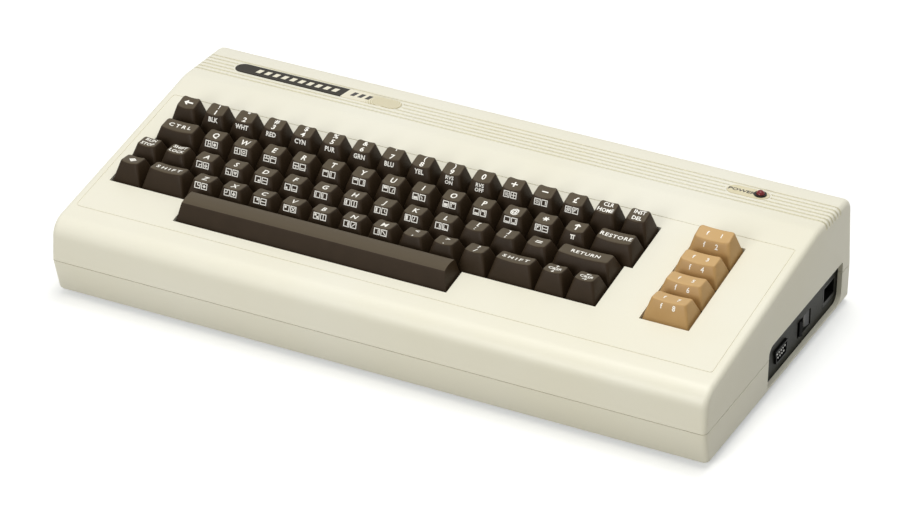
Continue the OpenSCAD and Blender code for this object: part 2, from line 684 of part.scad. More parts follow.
// The fuse lies in two clips beside the power switch.
fuse_x = panel_back - 34.1;
fuse_y = switch_y - 10;
fuse_l = 23;
fuse_r = 2.55;
clip_t = 3;
module fuse() translate([fuse_x, fuse_y, 4.6]) {
    for (s = [-1, 1]) translate([0, s * (fuse_l / 2 - 3.5), 0]) difference() {
        translate([-3.4, -clip_t / 2, -4.6]) cube([6.8, clip_t, 7.5]);
        rotate([90, 0, 0]) cylinder(h = clip_t + 1, r = fuse_r + 0.05, center = true);
        translate([-1.6, -clip_t, 0.4]) cube([3.2, 2 * clip_t, 4]);
    }
    rotate([90, 0, 0]) cylinder(h = fuse_l, r = fuse_r, center = true);
}
module board_parts() color("#3a5f8f") translate([0, 0, board_up]) {
    can(128, 20, 8, 16);
    can(146, 2, 6, 13);
    can(112, -2, 5, 12);
    can(100, 42, 4, 9);
    for (x = [-100, -30, 45]) can(x, 58, 3, 7);
    fuse();
    // Crystal, rectifier bridge and the keyboard's header
    translate([-8, 58, 0]) cube([11, 4.5, 12]);
    translate([140, -40, 0]) cube([18, 6, 14]);
    translate([header_x - 26, header_y - 1.3, 0]) cube([52, 2.6, 3]);
    translate([120, header_y - 1.3, 0]) cube([8, 2.6, 3]);
}

sink_x = 96;
sink_y = -44;
module heat_sink() color("#9ea2a6") translate([sink_x, sink_y, board_up]) {
    translate([-18, -1.2, 0]) cube([36, 2.4, 22]);
    for (i = [0:6]) translate([-18 + i * 5.75, -9, 2]) cube([1.5, 18, 20]);
}

shield_x = -112;
shield_y = -48;
module shield_can() color("#c3c6c8") translate([shield_x, shield_y, board_up]) difference() {
    translate([-40, -10, 0]) cube([80, 20, 14]);
    translate([-39.4, -9.4, -1]) cube([78.8, 18.8, 14.4]);
    for (x = [-30:12:30]) translate([x, 0, 10]) cylinder(h = 6, r = 2);
}

expansion_w = 94;
slot_w = 88;
slot_h = 5.2;
expansion_h = 12;
expansion_z = board_up + expansion_h / 2;
expansion_front = board_rear - 16;
expansion_rear = board_rear + 4;
module expansion_socket() color(black) difference() {
    translate([cartridge_x - expansion_w / 2, expansion_front, board_up])
        cube([expansion_w, expansion_rear - expansion_front, expansion_h]);
    translate([cartridge_x - slot_w / 2, expansion_rear - 11, expansion_z - slot_h / 2])
        cube([slot_w, 12, slot_h]);
}

// A round socket: a block on the board with a sleeve that reaches to the rear wall.
din_z = board_up + 9.5;
din_face = half_d - wall - 0.5;
din_w = 20;
din_h = 19;
din_back = 17;
din_front = board_rear + 4;
din_sleeve = din_r + 1.2;
module din_socket(x) {
    difference() {
        union() {
            translate([x - din_w / 2, din_front - din_back, board_up]) cube([din_w, din_back, din_h]);
            translate([x, din_front - eps, din_z]) rotate([-90, 0, 0])
                cylinder(h = din_face - din_front, r = din_sleeve, $fn = 48);
        }
        translate([x, din_face - din_depth, din_z]) rotate([-90, 0, 0])
            cylinder(h = din_depth + 1, r = din_r, $fn = 48);
    }
}
module din_sockets() color("#2b2b2b") {
    din_socket(video_x);
    din_socket(serial_x);
}

// ---- The right side: panel, control port, switch and inlet ----
port_z = board_up + 6.2;
port_w = 16.9;
port_h = 8.4;
switch_z = board_up + 5.4;
inlet_z = board_up + 7.4;
rocker_w = 17;
rocker_h = 9.6;
inlet_w = 17.6;
inlet_h = 13.2;

// A D-shaped outline, wide side up, lying in the plane of the panel.
function d_shape(grow) = let (w = port_w / 2 + grow, h = port_h / 2 + grow, s = h * tan(10) * 2)
    [[-w, h], [w, h], [w - s, -h], [s - w, -h]];
module port_prism(grow, x0, x1) translate([x0, port_y, port_z]) rotate([90, 0, 90])
    linear_extrude(x1 - x0) polygon(d_shape(grow));
port_wall = 0.7;
module control_port() color(black) {
    union() {
        difference() {
            translate([panel_back - 1.5, port_y - 15.4, port_z - 6]) cube([1.2, 30.8, 12]);
            for (s = [-1, 1]) translate([panel_back - 3, port_y + s * 12.5, port_z])
                rotate([0, 90, 0]) cylinder(h = 6, r = 1.5);
        }
        difference() {
            port_prism(0, panel_back - 0.4, panel_face + 1.4);
            port_prism(-port_wall, panel_back, panel_face + 3);
        }
    }
    translate([panel_back - 14, port_y - 10.2, board_up]) cube([12.5, 20.4, 11.6]);
}

side_r = 5.5;
side_r_small = 1.5;
module side_outline(grow) {
    y0 = side_front - grow;
    y1 = side_rear + grow;
    z0 = side_low - grow;
    z1 = side_high + grow;
    rotate([90, 0, 90]) linear_extrude(20) polygon(concat([[y0, z0]],
        arc([y1 - side_r, z0 + side_r], side_r, -90, 0, steps),
        arc([y1 - side_r_small, z1 - side_r_small], side_r_small, 0, 90, 3),
        arc([y0 + side_r, z1 - side_r], side_r, 90, 180, steps)));
}
module side_panel() color(black) difference() {
    intersection() {
        translate([panel_back, 0, 0]) side_outline(1.6);
        translate([panel_back, side_front - 5, 0]) cube([side_panel_t, 120, 60]);
    }
    port_prism(0.5, panel_back - 1, panel_face + 1);
    translate([panel_back - 1, switch_y - rocker_w / 2 - 1, switch_z - rocker_h / 2 - fit])
        cube([4 + side_panel_t, rocker_w + 2, rocker_h + 2 * fit]);
    translate([panel_back - 1, inlet_y - inlet_w / 2 - fit, board_up - fit])
        cube([4 + side_panel_t, inlet_w + 2 * fit, inlet_h + 2 * fit]);
}

pivot_x = panel_back - 3.2;
pivot_r = 1.5;
housing_w = 25;
housing_d = 13;
housing_h = 11;
module switch_housing() color("#2a2a2c") difference() {
    translate([panel_back - housing_d, switch_y - housing_w / 2, board_up])
        cube([housing_d - fit, housing_w, housing_h]);
    translate([panel_back - 11, switch_y - rocker_w / 2 - 1, switch_z - rocker_h / 2 - fit])
        cube([12, rocker_w + 2, rocker_h + 2 * fit]);
    translate([pivot_x, switch_y, board_up + 0.1]) cylinder(h = housing_h - 0.2, r = pivot_r + 0.05);
}
module power_rocker() color("#1c1c1e") translate([pivot_x, switch_y, 0]) {
    translate([0, 0, switch_z - rocker_h / 2]) rotate([0, 0, rocker_swing]) linear_extrude(rocker_h)
        polygon([[-3.6, -3], [-1.5, 2 - rocker_w / 2], [4.6, 0.6 - rocker_w / 2],
            [6, 1.4 - rocker_w / 2], [5, -3], [4.6, 0], [5, 3], [6, rocker_w / 2 - 1.4],
            [4.6, rocker_w / 2 - 0.6], [-1.5, rocker_w / 2 - 2], [-3.6, 3]]);
    translate([0, 0, switch_z - rocker_h / 2 - 0.4]) cylinder(h = rocker_h + 0.8, r = pivot_r);
}

inlet_d = 14;
inlet_deep = 9;
inlet_in_w = 14.8;
inlet_in_h = 9.2;
module power_inlet() {
    color("#1f1f21") difference() {
        translate([panel_back - inlet_d, inlet_y - inlet_w / 2, board_up])
            cube([inlet_d + side_panel_t, inlet_w, inlet_h]);
        translate([panel_back - inlet_deep, inlet_y - inlet_in_w / 2, inlet_z - inlet_in_h / 2])
            cube([20, inlet_in_w, inlet_in_h]);
    }
    color(steel) for (s = [-1, 1]) translate([panel_back - inlet_deep - eps, inlet_y + s * 3.6, inlet_z])
        rotate([0, 90, 0]) cylinder(h = 5.5, r = 1.2);
}

// ---- Feet, screws and leads ----
foot_in = 0.5;
foot_x = half_w - foot_side_gap;
foot_y = half_d - foot_end_gap;
screw_y = screw_front_gap - half_d;
module rubber_feet() color("#2c2c2c") for (x = [-1, 1], y = [-1, 1])
    translate([x * foot_x, y * foot_y, 0]) cylinder(h = foot_h + foot_in, r = foot_r);

case_screws_at = [for (x = [-1, 0, 1]) [x * (half_w - screw_side_gap), screw_y]];
screw_r = 1.5;
head_r = 3;
boss_or = 4.5;
case_boss_top = seam_h - seam_gap / 2;
module case_screws() color(steel) for (p = case_screws_at) translate([p[0], p[1], 0]) {
    translate([0, 0, floor_z + 1]) cylinder(h = 23, r = screw_r);
    translate([0, 0, floor_z]) difference() {
        cylinder(h = 2, r = head_r);
        for (a = [0, 90]) rotate([0, 0, a]) translate([-2, -0.4, -1]) cube([4, 0.8, 2]);
    }
}

inner_head = 1.6;
module inner_screws() color(steel) {
    for (p = board_posts) translate([p[0], p[1], 0]) {
        translate([0, 0, board_z - 2.4])
            cylinder(h = 2.4 + board_t + inner_head / 2, r = post_hole - 0.3);
        translate([0, 0, board_up]) cylinder(h = inner_head, r = 2.8);
    }
    on_deck() for (p = frame_screws) translate([p[0], p[1], -frame_depth - frame_t]) {
        translate([0, 0, -inner_head / 2])
            cylinder(h = inner_head / 2 + frame_t + 4, r = frame_screw_r);
        translate([0, 0, -inner_head]) cylinder(h = inner_head, r = 2.6);
    }
}

// The flat keyboard lead hangs from the switch board to the header on the main
// board; the lamp's twin lead runs down behind the keys.
ribbon_w = 50;
ribbon_t = 0.9;
ribbon_top = [header_y + 12, seam_h + deck_z(header_y + 12)
    - (frame_depth + frame_t + board_gap + switch_board_t) / cos(deck_tilt)];
lamp_at = [lamp_x, ridge_y + badge_y * cos(ridge_fall) - (wall + 9) * sin(ridge_fall)];
lamp_low = seam_h + ridge_z - badge_y * sin(ridge_fall) - (wall + 9) * cos(ridge_fall);
lead_r = 1.1;
module inner_leads() {
    color("#8d8d8a") translate([header_x - ribbon_w / 2, 0, 0]) rotate([90, 0, 90])
        linear_extrude(ribbon_w) polygon(concat(
            [[header_y - ribbon_t / 2, board_up + 3.1]],
            [[header_y - ribbon_t / 2, board_up + 6]],
            arc([header_y + 7, ribbon_top[1] - 9], 7.5, 180, 110, 5),
            [[ribbon_top[0] - 0.5, ribbon_top[1] - fit], [ribbon_top[0] + 2, ribbon_top[1] - fit],
            [ribbon_top[0] + 2, ribbon_top[1] - 1.2]],
            arc([header_y + 7, ribbon_top[1] - 9], 6.6, 110, 180, 5),
            [[header_y + ribbon_t / 2, board_up + 6], [header_y + ribbon_t / 2, board_up + 3.1]]));
    color("#7a2a2a") {
        translate([lamp_at[0], lamp_at[1], lamp_low - 12]) cylinder(h = 12 - fit, r = lead_r);
        translate([lamp_at[0], lamp_at[1], lamp_low - 12]) sphere(r = lead_r + 0.3);
        lead_end = [124, header_y, board_up + 8];
        run = [lead_end[0] - lamp_at[0], lead_end[1] - lamp_at[1], lead_end[2] - lamp_low + 12];
        translate([lamp_at[0], lamp_at[1], lamp_low - 12])
            rotate([0, acos(run[2] / norm(run)), atan2(run[1], run[0])])
                cylinder(h = norm(run), r = lead_r);
        translate(lead_end) sphere(r = lead_r + 0.3);
        translate([lead_end[0], lead_end[1], board_up + 3.1]) cylinder(h = 4.9, r = lead_r);
    }
}

// ---- The two shells ----
module aperture_slab(x0, x1, y0, y1) translate([x0, y0, -20]) cube([x1 - x0, y1 - y0, 60]);

module key_apertures() {
    g = aperture_gap;
    front4 = row_y(3) - pitch / 2 - g;
    // The third row juts out to the left, so its cells have their gap on the rear side too.
    rear3 = row_y(2) + pitch / 2;
    aperture_slab(keys_left - g, keys_left + 16 * pitch + g, rear3 - g, keys_rear + g);
    aperture_slab(keys_left - 0.25 * pitch - g, keys_left + 15.75 * pitch + g, front4, rear3 + g);
    aperture_slab(space_x - space_w / 2 - key_gap - g, space_x + space_w / 2 + key_gap + g,
        space_front - g, front4 + eps);
    aperture_slab(function_left - g, function_left + pitch * function_units + g, front4, keys_rear + g);
}

module panel_groove() {
    w = case_w - 2 * panel_margin - 2 * draft;
    mid = (panel_front + panel_rear) / 2;
    d = panel_rear - panel_front;
    translate([0, mid, -0.35]) linear_extrude(2) difference() {
        polygon(rounded_rect(w, d, 2));
        polygon(rounded_rect(w - 2 * panel_line, d - 2 * panel_line, 1.6));
    }
}

// The grooves run across the ridge, over its edges and a little way down the sides.
module ridge_grooves() {
    lean = draft / (ridge_z + 5);
    hw = top_half_w - groove_depth;
    low = groove_drop + 3;
    difference() {
        for (i = [0:groove_n - 1])
            translate([0, groove_first + groove_pitch * i + groove_w / 2, 0]) rotate([90, 0, 0])
                linear_extrude(groove_w) difference() {
                    translate([-case_w / 2, -groove_drop]) square([case_w, groove_drop + 3]);
                    polygon(concat([[hw + lean * low, -low]],
                        arc([hw - edge_r, -edge_r - groove_depth], edge_r, 0, 90, 4),
                        arc([edge_r - hw, -edge_r - groove_depth], edge_r, 90, 180, 4),
                        [[-hw - lean * low, -low]]));
                }
        translate([badge_x, badge_y, -5])
            pill(badge_l + 2 * badge_rim, badge_h + 2 * badge_rim, 10);
        translate([lamp_badge_x, badge_y, -5])
            pill(lamp_badge_l + 2 * badge_rim, lamp_badge_h + 2 * badge_rim, 10);
    }
}

module badge_pockets() {
    translate([badge_x, badge_y, -badge_sink]) pill(badge_l + 0.4, badge_h + 0.4, 5);
    translate([lamp_badge_x, badge_y, -badge_sink]) pill(lamp_badge_l + 0.4, lamp_badge_h + 0.4, 5);
    translate([lamp_x, badge_y, -2 * wall - 4]) cylinder(h = 20, r = sleeve_r + 0.1);
}

card_low = 4.4;
card_high = board_up + 4.6;
module rear_openings() {
    y0 = board_rear + 0.6;
    // The upper shell closes the cartridge opening from above.
    translate([cartridge_x - cartridge_w / 2, y0, cartridge_low])
        cube([cartridge_w, 20, seam_h - cartridge_low]);
    translate([tape_x - tape_w / 2, y0, card_low]) cube([tape_w, 20, card_high - card_low]);
    translate([user_x - user_w / 2, y0, card_low]) cube([user_w, 20, card_high - card_low]);
    for (x = [video_x, serial_x]) translate([x, y0 + 4, din_z]) rotate([-90, 0, 0])
        cylinder(h = 20, r = din_sleeve + 0.4, $fn = 48);
}

module side_cut() {
    translate([half_w - 8, 0, 0]) side_outline(0);
    // Pocket that holds the dark panel
    intersection() {
        translate([panel_back - 1, 0, 0]) side_outline(2);
        translate([panel_back - 1, side_front - 5, 0]) cube([side_panel_t + 1 + fit, 120, 60]);
    }
}

tongue_w = 12;
tongue_l = 4;
tongue_t = 2;
tongue_x = half_w - wall - draft - fit - tongue_t;
module tongue(side, y, t, z, h)
    translate([side * (tongue_x + t / 2) - t / 2, y - tongue_w / 2, z]) cube([t, tongue_w, h]);
top_boss_or = 4;
frame_boss_r = 3.4;
module top_shell() color(cream) difference() {
    union() {
        difference() {
            top_form();
            difference() {
                top_hollow();
                for (p = case_screws_at) translate([p[0], p[1], seam_h])
                    cylinder(h = 60, r = top_boss_or);
                on_deck() for (p = frame_screws) translate([p[0], p[1], -frame_depth])
                    cylinder(h = 20, r = frame_boss_r);
            }
        }
        // Tongues that hook behind the side walls of the lower shell
        for (t = [[-1, -55], [-1, 55], [1, -55]]) {
            tongue(t[0], t[1], tongue_t, seam_h - tongue_l, 3 * tongue_l);
            tongue(t[0], t[1], tongue_t + fit + wall, seam_h + 1, tongue_l);
        }
    }
    on_deck() {
        key_apertures();
        panel_groove();
        for (p = frame_screws) translate([p[0], p[1], -frame_depth - 1])
            cylinder(h = 6, r = frame_screw_r + 0.05);
    }
    on_ridge() {
        ridge_grooves();
        badge_pockets();
    }
    side_cut();
    rear_openings();
    for (p = case_screws_at) translate([p[0], p[1], seam_h - 1]) cylinder(h = 14, r = screw_r + 0.05);
}

vent_n = 9;
module bottom_vents() for (s = [-1, 1], i = [0:vent_n - 1])
    translate([s * 80 + (i - (vent_n - 1) / 2) * 7 - 1.25, -20, 0]) cube([2.5, 45, 8]);

module bottom_shell() color(cream) difference() {
    union() {
        difference() {
            bottom_form();
            difference() {
                bottom_hollow();
                for (p = case_screws_at) translate([p[0], p[1], 0])
                    cylinder(h = case_boss_top, r = boss_or);
                for (p = board_posts) translate([p[0], p[1], 0]) cylinder(h = board_z, r = 3.6);
            }
        }
    }
    for (p = case_screws_at) translate([p[0], p[1], -1]) {
        cylinder(h = floor_z + 3, r = head_r + fit);
        cylinder(h = 60, r = screw_r + fit);
    }
    for (p = board_posts) translate([p[0], p[1], board_z - 2.8]) cylinder(h = 5, r = post_hole - 0.25);
    for (x = [-1, 1], y = [-1, 1]) translate([x * foot_x, y * foot_y, 0])
        cylinder(h = foot_h + foot_in, r = foot_r + 0.2);
    bottom_vents();
    side_cut();
    rear_openings();
}

top_shell();
bottom_shell();
name_badge();
lamp_plate();
power_lamp();
lamp_holder();
keyboard_frame();
keyboard_board();
key_springs();
space_bar_wire();
main_board();
chips();
board_parts();
heat_sink();
shield_can();
expansion_socket();
din_sockets();
control_port();
switch_housing();
power_rocker();
power_inlet();
side_panel();
rubber_feet();
case_screws();
inner_screws();
inner_leads();
key_left_arrow();
key_ctrl();
key_run_stop();
key_shift_lock();
key_symbol();
key_left_shift();
key_right_shift();
key_cursor_down();
key_cursor_right();
key_return();
key_restore();
key_insert_delete();
key_clear_home();
space_bar();
key_f1();
key_f3();
key_f5();
key_f7();
keys_1_3_5();
keys_7_9_plus_pound();
keys_w_r();
keys_y_i_p_star();
keys_a_d_g();
keys_j_l_semicolon();
keys_x_v();
keys_n_comma_slash();
keys_z_c_b();
keys_m_point();
keys_s_f();
keys_h_k_colon_equals();
keys_q_e_t();
keys_u_o_at_up();
keys_2_4();
keys_6_8_0_minus();
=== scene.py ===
import math

import bmesh
import bpy
from mathutils import Matrix, Vector


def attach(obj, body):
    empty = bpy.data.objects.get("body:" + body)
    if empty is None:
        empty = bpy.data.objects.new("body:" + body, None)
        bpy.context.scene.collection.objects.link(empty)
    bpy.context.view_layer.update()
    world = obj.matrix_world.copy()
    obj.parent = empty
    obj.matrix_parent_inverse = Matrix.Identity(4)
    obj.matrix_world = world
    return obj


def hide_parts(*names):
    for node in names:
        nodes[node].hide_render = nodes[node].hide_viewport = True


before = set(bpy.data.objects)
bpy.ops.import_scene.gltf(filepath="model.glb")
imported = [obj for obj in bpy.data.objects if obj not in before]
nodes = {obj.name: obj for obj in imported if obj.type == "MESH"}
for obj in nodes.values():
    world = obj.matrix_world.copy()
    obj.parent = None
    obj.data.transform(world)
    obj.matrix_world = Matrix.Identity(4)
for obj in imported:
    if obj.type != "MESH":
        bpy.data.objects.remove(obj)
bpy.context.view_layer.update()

# ---- Camera, lights and table ----
# The camera stands where the photograph's did: front right, well above, with a long lens.
# Soft light falls from above, so the deck is bright and the front and side walls are not.


def srgb(code):
    """The linear colour of an sRGB hex value."""
    parts = [int(code[i:i + 2], 16) / 255 for i in (1, 3, 5)]
    return [c / 12.92 if c <= 0.04045 else ((c + 0.055) / 1.055) ** 2.4 for c in parts] + [1.0]


def add(tree, kind, inputs=None, **settings):
    """Adds a node with its settings; an input that is another node's output is linked to it."""
    made = tree.nodes.new(kind)
    for name, value in settings.items():
        setattr(made, name, value)
    for name, value in (inputs or {}).items():
        if isinstance(value, bpy.types.NodeSocket):
            tree.links.new(value, made.inputs[name])
        else:
            made.inputs[name].default_value = value
    return made


def new_finish(name):
    """An empty material and its node tree."""
    finish = bpy.data.materials.new(name)
    finish.use_nodes = True
    finish.node_tree.nodes.clear()
    return finish, finish.node_tree


def seen_by_camera(tree):
    """1 where the camera looks, straight, by a reflection or through glass, and 0 elsewhere."""
    path = add(tree, "ShaderNodeLightPath")
    seen = add(tree, "ShaderNodeMath", {0: path.outputs["Is Camera Ray"],
                                        1: path.outputs["Is Glossy Ray"]}, operation="MAXIMUM")
    seen = add(tree, "ShaderNodeMath", {0: seen.outputs[0],
                                        1: path.outputs["Is Transmission Ray"]}, operation="MAXIMUM")
    return seen.outputs[0]


# Place in metres and turn in degrees, solved from the photograph's perspective
camera = bpy.data.objects.new("camera", bpy.data.cameras.new("camera"))
bpy.context.scene.collection.objects.link(camera)
camera.location = (0.95567, -1.90943, 1.28948)
camera.rotation_euler = [math.radians(a) for a in (59.4472, -0.2133, 26.7337)]
camera.data.lens = 175.117
camera.data.sensor_width = 36
camera.data.clip_end = 50
bpy.context.scene.camera = camera
bpy.context.scene.view_settings.view_transform = "Standard"

# The room: a dim warm white that fills the shadows, and plain white where the camera sees it
studio = bpy.data.worlds.new("studio")
bpy.context.scene.world = studio
studio.use_nodes = True
tree = studio.node_tree
tree.nodes.clear()
room = add(tree, "ShaderNodeBackground", {"Color": srgb("#fffefa"), "Strength": 0.34})
backdrop = add(tree, "ShaderNodeBackground", {"Color": (1, 1, 1, 1), "Strength": 1.0})
sky = add(tree, "ShaderNodeMixShader", {0: seen_by_camera(tree), 1: room.outputs[0],
                                        2: backdrop.outputs[0]})
add(tree, "ShaderNodeOutputWorld", {"Surface": sky.outputs[0]})

# Each light: name, place, the point it shines at, side of its square in metres, watts
for name, place, aim, size, power in (
        ("top_light", (0.15, 0.1, 1.7), (0, 0, 0), 1.5, 13.2),
        ("high_light", (0.1, 0.3, 2.4), (0, 0, 0), 0.4, 9.0),
        ("front_light", (-0.3, -2.0, 0.9), (0, 0, 0.03), 0.9, 17.5)):
    lamp = bpy.data.lights.new(name, "AREA")
    lamp.shape = "SQUARE"
    lamp.size = size
    lamp.energy = power
    lamp.color = (1.0, 1.0, 0.995)
    holder = bpy.data.objects.new(name, lamp)
    bpy.context.scene.collection.objects.link(holder)
    holder.location = place
    holder.rotation_euler = (Vector(place) - Vector(aim)).to_track_quat("Z", "Y").to_euler()

# The table: pale, with the object's soft shadow, and white where the camera sees it lit
TABLE_HALF = 6
bm = bmesh.new()
bmesh.ops.create_grid(bm, x_segments=1, y_segments=1, size=TABLE_HALF)
mesh = bpy.data.meshes.new("table")
bm.to_mesh(mesh)
bm.free()
table = bpy.data.objects.new("table", mesh)
bpy.context.scene.collection.objects.link(table)
paint, tree = new_finish("pale_table")
dull = add(tree, "ShaderNodeBsdfDiffuse", {"Color": srgb("#a9a79f")})
pale = add(tree, "ShaderNodeBsdfDiffuse", {"Color": srgb("#f4f3ef")})
glow = add(tree, "ShaderNodeEmission", {"Color": srgb("#f4f9ff"), "Strength": 0.35})
lifted = add(tree, "ShaderNodeAddShader", {0: pale.outputs[0], 1: glow.outputs[0]})
mixed = add(tree, "ShaderNodeMixShader", {0: seen_by_camera(tree), 1: dull.outputs[0],
                                          2: lifted.outputs[0]})
add(tree, "ShaderNodeOutputMaterial", {"Surface": mixed.outputs[0]})
table.data.materials.append(paint)

# ---- Case shells ----
# Two shells of cream ABS, injection moulded in tools with a fine spark-eroded surface, so the
# walls have an even grain, a dull sheen and softly rounded edges. Age gives a slight yellowing.

MM = 0.001
SPECKLE = 0.06  # how much a plastic's roughness varies from grain to grain


def moulded(name, colour, patch, roughness, grain, relief, spread=40, shine=0.5, top=None):
    """A moulded plastic: grain and relief in millimetres, spread the size of its patches in
    millimetres, shine the strength of its gloss and top a painted highlight: the colour painted on
    faces that look up, in place of the light and sheen that fall on them from above."""
    finish, tree = new_finish(name)
    place = add(tree, "ShaderNodeTexCoord")
    cloud = add(tree, "ShaderNodeTexNoise", {"Vector": place.outputs["Object"],
                                             "Scale": 1000 / spread, "Detail": 3.0})
    blend = add(tree, "ShaderNodeMapRange", {"Value": cloud.outputs[0], 1: 0.3, 2: 0.7})
    tint = add(tree, "ShaderNodeMix", {0: blend.outputs[0], 6: srgb(colour), 7: srgb(patch)},
               data_type="RGBA")
    # Painted light: faces that look up are painted in the top colour, standing in for the light and
    # sheen from above
    if top:
        facing = add(tree, "ShaderNodeSeparateXYZ", {0: place.outputs["Normal"]})
        painted_top_light = add(tree, "ShaderNodeMapRange", {"Value": facing.outputs["Z"], 1: 0.72, 2: 0.97})
        tint = add(tree, "ShaderNodeMix", {0: painted_top_light.outputs[0], 6: tint.outputs[2], 7: srgb(top)},
                   data_type="RGBA")
    fine = add(tree, "ShaderNodeTexNoise", {"Vector": place.outputs["Object"],
                                            "Scale": 1000 / grain, "Detail": 2.0})
    dull = add(tree, "ShaderNodeMapRange", {"Value": fine.outputs[0], 1: 0.25, 2: 0.75,
                                            3: roughness - SPECKLE, 4: roughness + SPECKLE})
    bumps = add(tree, "ShaderNodeBump", {"Height": fine.outputs[0], "Strength": 0.6,
                                         "Distance": relief * MM})
    plastic = add(tree, "ShaderNodeBsdfPrincipled", {
        "Base Color": tint.outputs[2], "Roughness": dull.outputs[0],
        "Normal": bumps.outputs[0], "IOR": 1.53, "Specular IOR Level": shine})
    add(tree, "ShaderNodeOutputMaterial", {"Surface": plastic.outputs[0]})
    return finish


# Rounds the look of a CAD node: its loose triangles are joined and shaded smooth up to 28 degrees
smoothing = bpy.data.node_groups.new("smooth_faces", "GeometryNodeTree")
smoothing.interface.new_socket("Geometry", in_out="INPUT", socket_type="NodeSocketGeometry")
smoothing.interface.new_socket("Geometry", in_out="OUTPUT", socket_type="NodeSocketGeometry")
into = add(smoothing, "NodeGroupInput")
joined = add(smoothing, "GeometryNodeMergeByDistance", {"Geometry": into.outputs[0],
                                                        "Distance": 0.002 * MM})
faces = add(smoothing, "GeometryNodeSetShadeSmooth", {0: joined.outputs[0]}, domain="FACE")
corner = add(smoothing, "GeometryNodeInputMeshEdgeAngle")
sharp = add(smoothing, "FunctionNodeCompare", {0: corner.outputs[0], 1: math.radians(28)},
            operation="GREATER_THAN")
edges = add(smoothing, "GeometryNodeSetShadeSmooth", {0: faces.outputs[0], 1: sharp.outputs[0]},
            domain="EDGE")
edges.inputs["Shade Smooth"].default_value = False
add(smoothing, "NodeGroupOutput", {0: edges.outputs[0]})


def dress(name, finish, round_edge=0.0):
    """Gives a CAD node its finish, joins its faces and rounds its edges by some millimetres."""
    piece = nodes[name]
    piece.data.materials.clear()
    piece.data.materials.append(finish)
    piece.modifiers.new("smooth", "NODES").node_group = smoothing
    if round_edge:
        soft = piece.modifiers.new("round", "BEVEL")
        soft.affect = "EDGES"
        soft.width = round_edge * MM
        soft.segments = 3
        soft.profile = 0.5
        soft.material = -1
        soft.limit_method = "ANGLE"
        soft.angle_limit = math.radians(35)
        soft.harden_normals = True


# Cream ABS: warm, nearly even, with a dull sheen that breaks up softly. Its real grain is about
# 0.2 mm; it is drawn at 0.9 mm so that it shows in the render.
cream_abs = moulded("cream_abs", "#efecdc", "#ece8d4", 0.42, 0.9, 0.012, 90)
dress("top_shell", cream_abs)
dress("bottom_shell", cream_abs)

# ---- Key caps ----
# Hollow caps of dark brown ABS in four rows that form a hollow curve, with four tan function keys
# beside them. Each is one moulding, with an edge that rolls over to a dished top and a cup below
# for the spring, and its plunger slides in the keyboard frame.

# Dark brown ABS: almost black on the walls; tops that look up at the light get a painted highlight, a
# lighter and browner colour in place of the sheen from above
dark_abs = moulded("dark_brown_abs", "#33271a", "#2d2215", 0.46, 0.7, 0.02, 12, 0.13, "#574d3d")
# Tan ABS: a warm, even sand colour with a faint sheen along the rolled edges, and a painted
# highlight: tops that look up are painted a paler sand
tan_abs = moulded("tan_abs", "#b9945f", "#b18c57", 0.44, 0.7, 0.02, 12, 0.3, "#caa56e")

